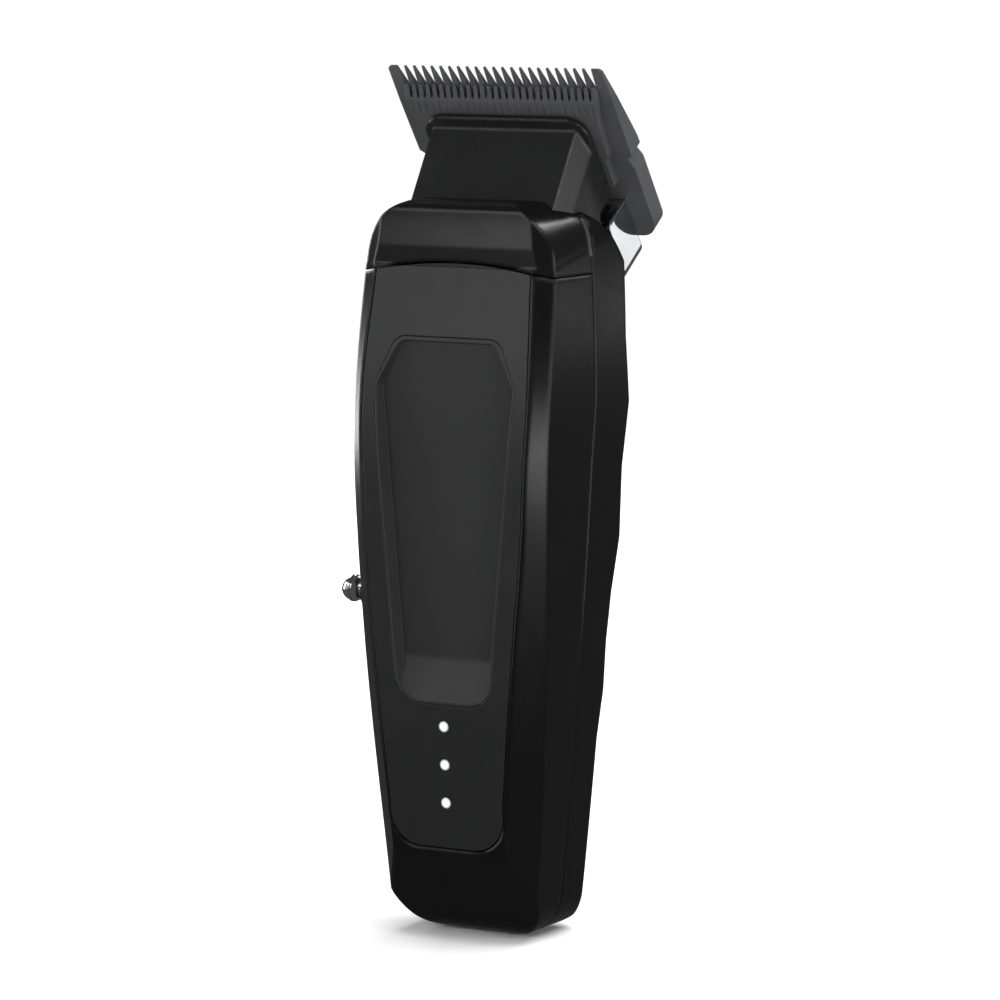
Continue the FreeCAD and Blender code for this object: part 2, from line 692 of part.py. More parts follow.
def blade_bracket():
    """Polished tray under the blade's heel, with the leg that the lever moves."""
    end, deep = BRACKET_END, BRACKET_DEEP
    tray = head_profile([
        (BRACKET_START, 0, 0.5), (BRACKET_START, -deep, 1.5),
        (end, -deep, 2.2), (end, 0, 1.2),
    ], BRACKET_HALF)
    rim = head_plan(mirrored([
        (BRACKET_HALF, BRACKET_START, 0.4), (BRACKET_HALF, end, 2.4),
    ]), -deep - 1, 1)
    tray = tray.common(rim)
    inside = head_profile([
        (BRACKET_START - 5, -BRACKET_SKIN), (BRACKET_START - 5, -deep - 5),
        (end - BRACKET_SKIN, -deep - 5), (end - BRACKET_SKIN, -BRACKET_SKIN, 1.0),
    ], BRACKET_HALF - BRACKET_SKIN)
    tray = tray.cut(inside)
    pin = lever_pin_local()
    leg_left = -LEVER_CAM_INNER + 0.4
    start, wide, thick = BRACKET_START + 2, LEG_WIDTH, 1.5
    leg = outline([
        (start, -deep + thick), (start + wide, -deep + thick),
        (start + wide, -deep - 5.0), (pin[0] + 3.2, -deep - 9.5, 3.0),
        (pin[0] + 3.4, pin[1] - 3.2, 2.0), (pin[0] - 3.4, pin[1] - 3.2, 2.0),
        (pin[0] - 3.6, -deep - 7, 4.0),
    ], lambda p: V(leg_left, p.x, p.y))
    leg = Part.Face(leg).extrude(V(LEG_THICK, 0, 0))
    foot = block(-BRACKET_HALF + 0.2, leg_left + LEG_THICK, start, start + wide, -deep, -deep + thick)
    half = LEVER_PIN / 2 + FIT
    rise = LEVER_THROW * (1 - math.cos(math.radians(LEVER_SWING / 2))) + 0.3
    slot = head_plan([
        (-FAR, pin[0] - half), (-5, pin[0] - half), (-5, pin[0] + half), (-FAR, pin[0] + half),
    ], pin[1] - half - rise, pin[1] + half + rise)
    body = union([tray, leg.cut(slot), foot])
    holes = []
    for x in BLADE_SCREWS:
        holes.append(rod(2.5, V(x, BLADE_SCREW_AT, -9), V(x, BLADE_SCREW_AT, 2)))
    low, high = GUIDE_SCREW_AT - TAPER_TRAVEL - 0.2, GUIDE_SCREW_AT + 0.2
    for x in GUIDE_SCREWS:
        for reach, floor in ((SCREW_M3 / 2 + 2 * FIT, -9), (SCREW_M3_HEAD / 2 + 0.2, -1)):
            slot = rectangle(x - reach, x + reach, low - reach, high + reach, reach * 0.98)
            holes.append(head_plan(slot, floor, 2))
    return on_head(body.cut(Part.makeCompound(holes)))


def blade_screws():
    screws = []
    at, seat = BLADE_SCREW_AT, FIXED_THICK - SCREW_SINK
    for x in BLADE_SCREWS:
        head = rod(SCREW_M3_HEAD, V(x, at, seat), V(x, at, FIXED_THICK - 0.1))
        cross = [block(x - 1.5, x + 1.5, at - 0.3, at + 0.3, seat + 0.6, 9)]
        cross.append(block(x - 0.3, x + 0.3, at - 1.5, at + 1.5, seat + 0.6, 9))
        shank = rod(2.4, V(x, at, -3.2), V(x, at, seat))
        screws.append(on_head(union([shank, head.cut(Part.makeCompound(cross))])))
    return screws


def guide_screws():
    """Shoulder screws in the bracket's slots: they let it slide along the slope only."""
    screws = []
    for x in GUIDE_SCREWS:
        head = rod(SCREW_M3_HEAD, V(x, GUIDE_SCREW_AT, -0.95), V(x, GUIDE_SCREW_AT, -0.1))
        slot = block(x - 1.8, x + 1.8, GUIDE_SCREW_AT - 0.3, GUIDE_SCREW_AT + 0.3, -0.5, 9)
        shank = rod(SCREW_M3, V(x, GUIDE_SCREW_AT, -6.5), V(x, GUIDE_SCREW_AT, -0.95))
        screws.append(on_head(union([shank, head.cut(slot)])))
    return screws


# ================================================================ taper lever
def lever_pivot_point():
    return V(0, LEVER_PIVOT[0], HOUSING_TOP + LEVER_PIVOT[1])


def lever_pivot_local():
    local = TO_HEAD.inverse().multVec(lever_pivot_point())
    return local.y, local.z


def lever_pin_local():
    """Slope coordinates of the lever's pin at rest."""
    u, v = lever_pivot_local()
    half = math.radians(LEVER_SWING / 2)
    return u - LEVER_THROW * math.sin(half), v - LEVER_THROW * math.cos(half)


def lever_x():
    """X of the arm's inner face and of the bosses on both sides of the housing's wall."""
    return -(LEVER_SIDE + LEVER_WASHER + LEVER_GAP), -LEVER_INNER, -LEVER_SIDE


def lever_arm():
    face, inner, side = lever_x()
    pivot = lever_pivot_point()
    angle = math.radians(LEVER_REST_ANGLE)
    down = V(0, math.sin(angle), -math.cos(angle))
    across = V(0, math.cos(angle), math.sin(angle))

    def spot(p):
        return V(face, 0, 0).add(pivot).add(V(down).multiply(p.x)).add(V(across).multiply(p.y))

    blade = outline([
        (-6.0, -5.6, 5.0), (-6.0, 5.6, 5.0), (8.0, 5.2, 6.0), (24.0, 2.6, 30.0),
        (LEVER_LENGTH + 3.4, 3.3, 2.9), (LEVER_LENGTH + 3.4, -3.3, 2.9),
        (24.0, -2.6, 30.0), (8.0, -5.2, 6.0),
    ], spot)
    arm = Part.Face(blade).extrude(V(-LEVER_THICK, 0, 0))
    hole = rod(LEVER_SHAFT - 2.0, V(face - 5, pivot.y, pivot.z), V(side - 0.05, pivot.y, pivot.z))
    end = pivot.add(V(down).multiply(LEVER_LENGTH))
    knob_hole = rod(2.2, V(face - 5, end.y, end.z), V(face + 1, end.y, end.z))
    return arm.cut(hole).cut(knob_hole)


def lever_knob():
    face = lever_x()[0]
    angle = math.radians(LEVER_REST_ANGLE)
    pivot = lever_pivot_point()
    y = pivot.y + LEVER_LENGTH * math.sin(angle)
    z = pivot.z - LEVER_LENGTH * math.cos(angle)
    outer_face = face - LEVER_THICK
    centre = V(outer_face - KNOB_STAND, y, z)
    ball = Part.makeSphere(KNOB_DIAMETER / 2, centre)
    neck = rod(KNOB_DIAMETER * 0.62, V(outer_face, y, z), centre)
    collar = rod(KNOB_DIAMETER * 0.92, V(outer_face - 0.9, y, z), V(outer_face, y, z))
    ring = rod(KNOB_DIAMETER + 0.24, centre.add(V(0.25, 0, 0)), centre.add(V(-0.25, 0, 0)))
    stem = rod(2.1, V(outer_face, y, z), V(face + 0.2, y, z))
    rivet = rod(3.4, V(face, y, z), V(face + 0.25, y, z))
    return union([ball, neck, collar, ring, stem, rivet])


def lever_cam():
    """Shaft through the housing's side, with the disc and pin that move the bracket."""
    face, inner, side = lever_x()
    pivot = lever_pivot_point()
    u, v = lever_pin_local()
    pin = TO_HEAD.multVec(V(0, u, v))
    disc_outer = -LEVER_CAM_OUTER
    disc_inner = -LEVER_CAM_INNER
    stub = rod(LEVER_SHAFT - 2.1, V(face - LEVER_THICK + 0.4, pivot.y, pivot.z), V(side, pivot.y, pivot.z))
    shaft = rod(LEVER_SHAFT, V(side, pivot.y, pivot.z), V(disc_outer, pivot.y, pivot.z))
    disc = rod(LEVER_CAM_RADIUS * 2, V(disc_outer, pivot.y, pivot.z), V(disc_inner, pivot.y, pivot.z))
    peg = rod(LEVER_PIN, V(disc_inner, pin.y, pin.z), V(disc_inner + 0.4 + LEG_THICK + 0.3, pin.y, pin.z))
    thread = rod(1.6, V(face - 3, pivot.y, pivot.z), V(side + 2, pivot.y, pivot.z))
    return union([stub, shaft, disc, peg]).cut(thread)


def lever_screw():
    face, inner, side = lever_x()
    pivot = lever_pivot_point()
    top = face - LEVER_THICK
    head = rod(6.6, V(top, pivot.y, pivot.z), V(top - 1.3, pivot.y, pivot.z))
    slot = block(top - 3, top - 0.6, pivot.y - 4, pivot.y + 4, pivot.z - 0.4, pivot.z + 0.4)
    shank = rod(1.5, V(top, pivot.y, pivot.z), V(side + 1.5, pivot.y, pivot.z))
    return union([head.cut(slot), shank])


def lever_washer():
    face, inner, side = lever_x()
    pivot = lever_pivot_point()
    ring = rod(LEVER_SHAFT + 4, V(side, pivot.y, pivot.z), V(side - LEVER_WASHER, pivot.y, pivot.z))
    return ring.cut(rod(LEVER_SHAFT + 0.4, V(side + 1, pivot.y, pivot.z), V(side - 2, pivot.y, pivot.z)))


def lever_spring_washer():
    """Spring washer between the cam disc and the housing: it holds the lever where it is set."""
    face, inner, side = lever_x()
    pivot = lever_pivot_point()
    ring = rod(LEVER_SHAFT + 3.6, V(inner, pivot.y, pivot.z), V(inner + LEVER_SPRING, pivot.y, pivot.z))
    return ring.cut(rod(LEVER_SHAFT + 0.4, V(inner - 1, pivot.y, pivot.z), V(inner + 2, pivot.y, pivot.z)))


# ================================================================ neck
def neck_form(grow, inset=0.0):
    """Wedge-shaped neck leaning back to the blades; grow moves it out, inset in."""
    lean = math.tan(math.radians(NECK_LEAN))
    foot_y, foot_dz = NECK_FOOT
    low = HOUSING_TOP - NECK_SINK_REAR - 1
    high = HOUSING_TOP + 18
    shift = (grow - inset) * math.hypot(1, lean)
    rings = []
    for z in (low, high):
        y = foot_y + (z - HOUSING_TOP - foot_dz) * lean - shift
        face = NECK_FACE_HALF + (grow - inset) * 0.85
        side = NECK_HALF + grow - inset
        points = [(face, y), (side, y + NECK_BEVEL_DEPTH), (side, FAR)]
        points = [(-a, b) for a, b in reversed(points)] + points
        rings.append(Part.makePolygon([V(a, b, z) for a, b in points + points[:1]]))
    return Part.makeLoft(rings, True, True)


def neck_cover():
    """Hollow neck with a rim against the blades, closed at its top edge."""
    behind = on_head(block(-FAR, FAR, -10, 60, -NECK_TO_BLADE, FAR))
    front_edge, rear_edge = HOUSING_TOP - NECK_SINK, HOUSING_TOP - NECK_SINK_REAR
    floor = along_x([
        (-FAR, 0), (-FAR, front_edge), (NECK_SINK_RAMP[0], front_edge),
        (NECK_SINK_RAMP[1], rear_edge), (FAR, rear_edge), (FAR, 0),
    ], -FAR, FAR)
    body = neck_form(0).cut(behind).cut(floor)
    rim = on_head(head_plan(mirrored([
        (NECK_HALF + NECK_RIM_OUT, NECK_RIM_START, 4.0), (NECK_HALF + NECK_RIM_OUT, NECK_RIM_END, 1.0),
    ]), -NECK_TO_BLADE - NECK_RIM_THICK, -NECK_TO_BLADE))
    hollow = neck_form(0, NECK_WALL)
    roof = on_head(head_plan(mirrored([
        (NECK_HALF - NECK_WALL, 15.2, 2.0), (NECK_HALF - NECK_WALL, 60.0),
    ]), -FAR, FAR))
    roof = roof.common(hollow)
    window = on_head(head_plan(mirrored([
        (NECK_HALF - 3.0, NECK_RIM_START + 4.6, 2.0), (NECK_HALF - 3.0, 60.0),
    ]), -6, 3))
    rear = on_head(block(-FAR, FAR, 27.6, 90, -FAR, FAR))
    tail = block(-FAR, FAR, NECK_TAIL, FAR, 0, HOUSING_TOP + 9)
    return union([body, rim]).cut(roof).cut(window).cut(rear.common(tail))


def blade_spring():
    """Wire spring that presses the yoke and the moving blade onto the fixed blade."""
    level = SPRING_LEVEL
    start, end, half, bend = YOKE_START + 2.5, SPRING_END, SPRING_HALF, 2.0
    points = [
        V(half, end, level), V(half, start + bend, level),
        V(half - bend, start, level), V(-half + bend, start, level),
        V(-half, start + bend, level), V(-half, end, level),
    ]
    diagonal = bend * (1 - math.sqrt(0.5))
    right = V(half - diagonal, start + diagonal, level)
    left = V(-half + diagonal, start + diagonal, level)
    path = Part.Wire([
        Part.LineSegment(points[0], points[1]).toShape(),
        Part.Arc(points[1], right, points[2]).toShape(),
        Part.LineSegment(points[2], points[3]).toShape(),
        Part.Arc(points[3], left, points[4]).toShape(),
        Part.LineSegment(points[4], points[5]).toShape(),
    ])
    circle = Part.Wire(Part.makeCircle(SPRING_WIRE / 2, points[0], V(0, 1, 0)))
    return on_head(path.makePipeShell([circle], True, False))


# ================================================================ motor
def motor_can():
    y = MOTOR_Y
    can = rod(MOTOR_DIAMETER, V(0, y, MOTOR_BOTTOM), V(0, y, MOTOR_TOP))
    inside = rod(MOTOR_DIAMETER - 2 * MOTOR_CAN_WALL, V(0, y, MOTOR_BOTTOM + 3.5), V(0, y, MOTOR_TOP - 3.5))
    seat = BEARING_DIAMETER + 2 * FIT
    low = rod(seat, V(0, y, MOTOR_BOTTOM + 0.5), V(0, y, MOTOR_BOTTOM + 10))
    high = rod(seat, V(0, y, MOTOR_TOP - 10), V(0, y, MOTOR_TOP - 0.5))
    bore = rod(SHAFT_DIAMETER + 1.0, V(0, y, MOTOR_TOP - 5), V(0, y, MOTOR_TOP + 5))
    threads = [rod(2.1, V(x, y, MOTOR_TOP - 3.0), V(x, y, MOTOR_TOP + 1)) for x in MOTOR_SCREWS]
    leads = block(-4, 4, y - MOTOR_DIAMETER, y - 8, MOTOR_BOTTOM + 4, MOTOR_BOTTOM + 6)
    return can.cut(Part.makeCompound([inside, low, high, bore, leads] + threads))


def stator():
    """Laminated ring with six wound teeth."""
    y = MOTOR_Y
    z0, z1 = MOTOR_BOTTOM + 5.5, MOTOR_TOP - 5.5
    outer_d = MOTOR_DIAMETER - 2 * MOTOR_CAN_WALL - 2 * FIT
    ring = rod(outer_d, V(0, y, z0), V(0, y, z1)).cut(rod(outer_d - 2.6, V(0, y, 0), V(0, y, 300)))
    bore = ROTOR_DIAMETER / 2 + AIR_GAP
    teeth = []
    for k in range(6):
        tooth = block(bore + 0.2, outer_d / 2 - 1, -0.9, 0.9, z0, z1)
        shoe = block(bore - 0.2, bore + 1.0, -2.0, 2.0, z0, z1)
        one = union([tooth, shoe])
        one.rotate(V(0, 0, 0), V(0, 0, 1), 60 * k)
        one.translate(V(0, y, 0))
        teeth.append(one)
    return union([ring] + teeth).cut(rod(2 * bore, V(0, y, 0), V(0, y, 300)))


def coils():
    y = MOTOR_Y
    z0, z1 = MOTOR_BOTTOM + 4.4, MOTOR_TOP - 4.4
    outer_d = MOTOR_DIAMETER - 2 * MOTOR_CAN_WALL - 2 * FIT
    start, end = ROTOR_DIAMETER / 2 + AIR_GAP + 1.2, outer_d / 2 - 1.5
    out = []
    for k in range(6):
        coil = Part.makeBox(end - start, 3.4, z1 - z0, V(start, -1.7, z0))
        core = Part.makeBox(end - start + 2, 1.86, z1 - z0 - 2.14, V(start - 1, -0.93, z0 + 1.07))
        coil = coil.cut(core)
        coil.rotate(V(0, 0, 0), V(0, 0, 1), 60 * k)
        coil.translate(V(0, y, 0))
        out.append(coil)
    return out


def motor_shaft():
    y = MOTOR_Y
    return rod(SHAFT_DIAMETER, V(0, y, MOTOR_BOTTOM + 0.8), V(0, y, CAM_BOTTOM + CAM_HUB_LENGTH - 1.0))


def rotor_magnet():
    y = MOTOR_Y
    middle = (MOTOR_BOTTOM + MOTOR_TOP) / 2
    low, high = middle - ROTOR_LENGTH / 2, middle + ROTOR_LENGTH / 2
    ring = rod(ROTOR_DIAMETER, V(0, y, low), V(0, y, high))
    return ring.cut(rod(SHAFT_DIAMETER, V(0, y, low - 1), V(0, y, high + 1)))


def bearings():
    y = MOTOR_Y
    out = []
    for low in (MOTOR_BOTTOM + 0.5, MOTOR_TOP - 0.5 - BEARING_WIDTH):
        ring = rod(BEARING_DIAMETER, V(0, y, low), V(0, y, low + BEARING_WIDTH))
        bore = rod(SHAFT_DIAMETER + 2 * RUNNING, V(0, y, low - 1), V(0, y, low + 9))
        out.append(ring.cut(bore))
    return out


def eccentric_cam():
    y = MOTOR_Y
    hub = rod(CAM_DIAMETER, V(0, y, CAM_BOTTOM), V(0, y, CAM_BOTTOM + CAM_HUB_LENGTH))
    bore = rod(SHAFT_DIAMETER, V(0, y, CAM_BOTTOM - 1), V(0, y, CAM_BOTTOM + CAM_HUB_LENGTH - 1.0))
    top = CAM_BOTTOM + CAM_HUB_LENGTH
    pin = rod(CAM_PIN, V(CAM_THROW, y, top - 0.5), V(CAM_THROW, y, top + CAM_PIN_LENGTH))
    return union([hub.cut(bore), pin])


def motor_screws():
    y = MOTOR_Y
    top = MOTOR_TOP + FRAME_PLATE
    out = []
    for x in MOTOR_SCREWS:
        head = rod(SCREW_HEAD, V(x, y, top), V(x, y, top + 1.2))
        slot = block(x - 3, x + 3, y - 0.25, y + 0.25, top + 0.7, top + 3)
        out.append(union([head.cut(slot), rod(SCREW_DIAMETER, V(x, y, MOTOR_TOP - 2.6), V(x, y, top))]))
    return out


# ================================================================ head frame
def bracket_room(clear):
    """The bracket's bed and the window below it for the leg and the pads, less a clearance."""
    half = BRACKET_HALF + BRACKET_CLEAR - clear
    end = BRACKET_END + TAPER_TRAVEL + 3 * BRACKET_CLEAR - clear
    floor = -BRACKET_DEEP - BRACKET_CLEAR + clear
    bed = block(-half, half, 10, end, floor, FAR)
    half = WINDOW_HALF - clear
    start, stop = WINDOW_SPAN
    window = block(-half, half, start + clear, stop - clear, floor - WINDOW_DEEP, 0)
    return on_head(bed.fuse(window))


def head_frame(inside):
    """Frame above the motor: its plate, the neck's posts and the sloping pads of the bracket."""
    low, high = MOTOR_TOP, MOTOR_TOP + FRAME_PLATE
    plate = block(-FRAME_LEFT, FAR, -FAR, FAR, low, high)
    left_foot = block(-FAR, -FRAME_LEFT + 0.6, -FAR, FRAME_FOOT_BACK, low, high)
    x, y = POST_AT
    post = rod(POST_DIAMETER, V(x, y, low), V(x, y, HOUSING_TOP - NECK_SINK))
    base = union([plate, left_foot] + both_sides(post)).common(inside).cut(panel_backing(0.1))
    under = -BRACKET_SKIN - PAD_SLIDE
    pad_end = BRACKET_END - BRACKET_SKIN - 0.4
    start = head_point(0, BRACKET_START + 1.0, under)
    knee = head_point(0, BRACKET_START + 2.0, -BRACKET_DEEP - BRACKET_CLEAR)
    end = head_point(0, pad_end, under)
    low_end = head_point(0, pad_end, -BRACKET_DEEP - 0.5)
    pad = along_x([
        (PAD_FRONT, low), (PAD_REAR, low), (PAD_REAR + 0.7, high + 4), (low_end.y - 0.4, low_end.z),
        (end.y, end.z, 1.6), (start.y, start.z), (knee.y, knee.z), (PAD_FRONT, high + 6),
    ], PAD_SPAN[0], PAD_SPAN[1])
    pads = Part.makeCompound(both_sides(pad))
    body = union([base, pads.common(inside), pads.common(bracket_room(0.2))])
    cuts = [rod(CAM_DIAMETER - 1.0, V(0, MOTOR_Y, 0), V(0, MOTOR_Y, high + 1))]
    cuts += [rod(SCREW_DIAMETER + 0.2, V(x, MOTOR_Y, 0), V(x, MOTOR_Y, FAR * 5)) for x in MOTOR_SCREWS]
    for x in GUIDE_SCREWS:
        cuts.append(on_head(rod(SCREW_M3 + 0.02, V(x, GUIDE_SCREW_AT, -7), V(x, GUIDE_SCREW_AT, 2))))
    first, last = BLADE_SCREW_AT - 2.0, BLADE_SCREW_AT + TAPER_TRAVEL + 2.0
    for x in BLADE_SCREWS:
        cuts.append(on_head(head_plan(rectangle(x - 1.7, x + 1.7, first, last, 1.6), -4.5, 2)))
    for x in (-SPRING_HALF, SPRING_HALF):
        start, end = V(x, SPRING_END - 6, SPRING_LEVEL), V(x, SPRING_END + 0.05, SPRING_LEVEL)
        cuts.append(on_head(rod(SPRING_WIRE + 0.02, start, end)))
    return body.cut(Part.makeCompound(cuts))


# ================================================================ power and electronics
def battery_cell():
    z0, z1 = CELL_BOTTOM, CELL_BOTTOM + CELL_LENGTH
    can = rod(CELL_DIAMETER, V(0, CELL_Y, z0), V(0, CELL_Y, z1 - 1.2))
    edges = [e for e in can.Edges if abs(e.BoundBox.ZMin - z0) < 0.01 and e.BoundBox.ZLength < 0.01]
    can = can.makeFillet(0.8, edges)
    return union([can, rod(7.0, V(0, CELL_Y, z1 - 1.3), V(0, CELL_Y, z1))])


def battery_cradle(inner_form):
    """Trough behind the cell with an end stop under it and ribs against the rear cover."""
    z0, z1 = CELL_BOTTOM - 1.3, CELL_BOTTOM + CELL_LENGTH - 7
    hold = CELL_DIAMETER / 2 + 0.12
    tube = rod(2 * (hold + CRADLE), V(0, CELL_Y, z0), V(0, CELL_Y, z1))
    tube = tube.cut(rod(2 * hold, V(0, CELL_Y, CELL_BOTTOM - TAB), V(0, CELL_Y, z1 + 1)))
    front = block(-FAR, FAR, -FAR, CELL_Y + 1.0, z0 - 1, z1 + 1)
    windows = [block(-4, 4, CELL_Y, FAR, z, z + 12) for z in (24.0, 42.0, 60.0)]
    tube = tube.cut(Part.makeCompound([front] + windows))
    ribs = []
    for z in CRADLE_RIBS:
        rib = block(-CRADLE_RIB_HALF, CRADLE_RIB_HALF, CELL_Y + hold + CRADLE / 2, FAR, z, z + CRADLE_RIB)
        ribs.append(rib.common(inner_form))
    return union([tube] + ribs)


def battery_tabs():
    front = CELL_Y - CELL_DIAMETER / 2 - 0.1
    low = block(-3, 3, front, CELL_Y + 4, CELL_BOTTOM - TAB, CELL_BOTTOM)
    z = CELL_BOTTOM + CELL_LENGTH
    high = block(-3, 3, front, CELL_Y + 3.2, z, z + TAB)
    drop = block(-3, 3, front - TAB, front, z - 4.5, z + TAB)
    return [low, union([high, drop])]


def main_board():
    z0, z1 = BOARD_SPAN
    board = block(-BOARD_HALF, BOARD_HALF, BOARD_FRONT, BOARD_FRONT + BOARD_THICK, z0, z1)
    corner = [e for e in board.Edges if e.BoundBox.YLength > BOARD_THICK * 0.9]
    return board.makeFillet(1.0, corner)


def board_chips():
    back = BOARD_FRONT + BOARD_THICK
    spots = [(-8.0, 30.0, 2.6, 4.0, 0.9), (5.4, 34.0, 2.8, 5.0, 1.0), (-8.2, 44.0, 2.6, 5.6, 0.9),
             (5.6, 50.0, 2.8, 2.8, 0.7), (-8.0, 58.0, 2.4, 2.4, 0.9), (5.2, 62.0, 3.2, 6.0, 1.0)]
    return [block(x, x + w, back, back + t, z, z + h) for x, z, w, h, t in spots]


def leds():
    half = LIGHT_DIAMETER * 0.4
    return [block(-half, half, BOARD_FRONT - 0.7, BOARD_FRONT, z - half, z + half) for z in LIGHT_HEIGHTS]


def light_pipes(outer_form):
    pipes = []
    for z in LIGHT_HEIGHTS:
        pipe = rod(LIGHT_DIAMETER, V(0, -FRONT_REACH - 3, z), V(0, BOARD_FRONT - 0.75, z))
        pipe = pipe.common(outer_form)
        flange = rod(LIGHT_DIAMETER + 1.2, V(0, light_flange_y(z), z), V(0, BOARD_FRONT - 0.75, z))
        pipes.append(union([pipe, flange]))
    return pipes


def light_flange_y(z):
    return face_y(z) + WALL + 0.35


def charge_port():
    """Oval socket shell with its tongue, open at the foot."""
    y, half, tall = PORT_Y, PORT_WIDTH / 2, PORT_HEIGHT / 2
    shell = along_z(rectangle(-half, half, y - tall, y + tall, tall - 0.1), 0.4, 0.4 + PORT_LENGTH)
    skin = 0.3
    mouth = rectangle(-half + skin, half - skin, y - tall + skin, y + tall - skin, tall - 0.4)
    room = along_z(mouth, 0, PORT_LENGTH - 0.8)
    tongue = block(-half + 1.2, half - 1.2, y - 0.35, y + 0.35, 1.2, PORT_LENGTH)
    return union([shell.cut(room), tongue])


def charge_board():
    y = PORT_Y + PORT_HEIGHT / 2 + 0.05
    return block(-7.5, 7.5, y, y + 1.0, WALL + 0.6, CELL_BOTTOM - 1.6)


# ================================================================ power switch
def switch_y():
    return rear_y(SWITCH_HEIGHT)


def switch_knob():
    across, along, thick = SWITCH_PAD
    y = switch_y() - 1.0
    low = SWITCH_HEIGHT - SWITCH_TRAVEL / 2
    pad = along_y(rectangle(-across / 2, across / 2, low - along / 2, low + along / 2, 1.0), y, y + thick)
    top = y + thick + 0.1
    grooves = [rod(0.7, V(-9, top, low + d), V(9, top, low + d)) for d in (-1.8, -0.6, 0.6, 1.8)]
    w, h = SWITCH_STEM
    stem = block(-w / 2, w / 2, y - 3.2, y + 0.5, low - h / 2, low + h / 2)
    return union([pad.cut(Part.makeCompound(grooves)), stem])


def switch_cuts():
    """Shallow bed for the knob's travel and the slot for its stem."""
    across, along, thick = SWITCH_PAD
    reach = along / 2 + SWITCH_TRAVEL / 2 + SWITCH_CLEAR
    y = switch_y() - 1.0 - 0.15
    half = across / 2 + SWITCH_CLEAR
    bed = along_y(rectangle(-half, half, SWITCH_HEIGHT - reach, SWITCH_HEIGHT + reach, 1.2), y, FAR)
    w, h = SWITCH_STEM
    half = w / 2 + SWITCH_CLEAR
    reach = h / 2 + SWITCH_TRAVEL / 2 + SWITCH_CLEAR
    slot = block(-half, half, 0, FAR, SWITCH_HEIGHT - reach, SWITCH_HEIGHT + reach)
    return [bed, slot]


def switch_body():
    y = switch_y() - 1.0 - 3.2 - 0.3
    half = SWITCH_BODY_HALF
    return block(-half, half, y - 3.0, y, SWITCH_HEIGHT - 5.2, SWITCH_HEIGHT + 5.2)


def switch_board_y():
    return switch_y() - 1.0 - 3.2 - 0.3 - 3.0


def switch_board():
    y = switch_board_y()
    half = SWITCH_BOARD_HALF
    return block(-half, half, y - 1.0, y, SWITCH_HEIGHT - 6.0, SWITCH_HEIGHT + 5.4)


def switch_posts():
    """Ribs of the rear cover that the switch's board is fixed to."""
    end = switch_y() - WALL / 2
    low, high = SWITCH_HEIGHT - 4.0, SWITCH_HEIGHT + 4.0
    return both_sides(block(SWITCH_BODY_HALF + 0.1, SWITCH_BOARD_HALF, switch_board_y(), end, low, high))


# ================================================================ housing shells
def screw_places():
    return [(side * x, z) for x, z in (LOW_SCREWS, HIGH_SCREWS) for side in (-1, 1)]


def screw_seat(z):
    """Y of the underside of the screw's head."""
    return rear_y(z) - REAR_BEVEL[1] - 1.8


def housing_screws():
    out = []
    for x, z in screw_places():
        y = screw_seat(z)
        head = rod(SCREW_HEAD, V(x, y, z), V(x, y + 1.3, z))
        slot = block(x - 3, x + 3, y + 0.8, y + 9, z - 0.25, z + 0.25)
        cross = block(x - 0.25, x + 0.25, y + 0.8, y + 9, z - 3, z + 3)
        shank = rod(SCREW_DIAMETER, V(x, y - 11.0, z), V(x, y, z))
        out.append(union([shank, head.cut(Part.makeCompound([slot, cross]))]))
    return out


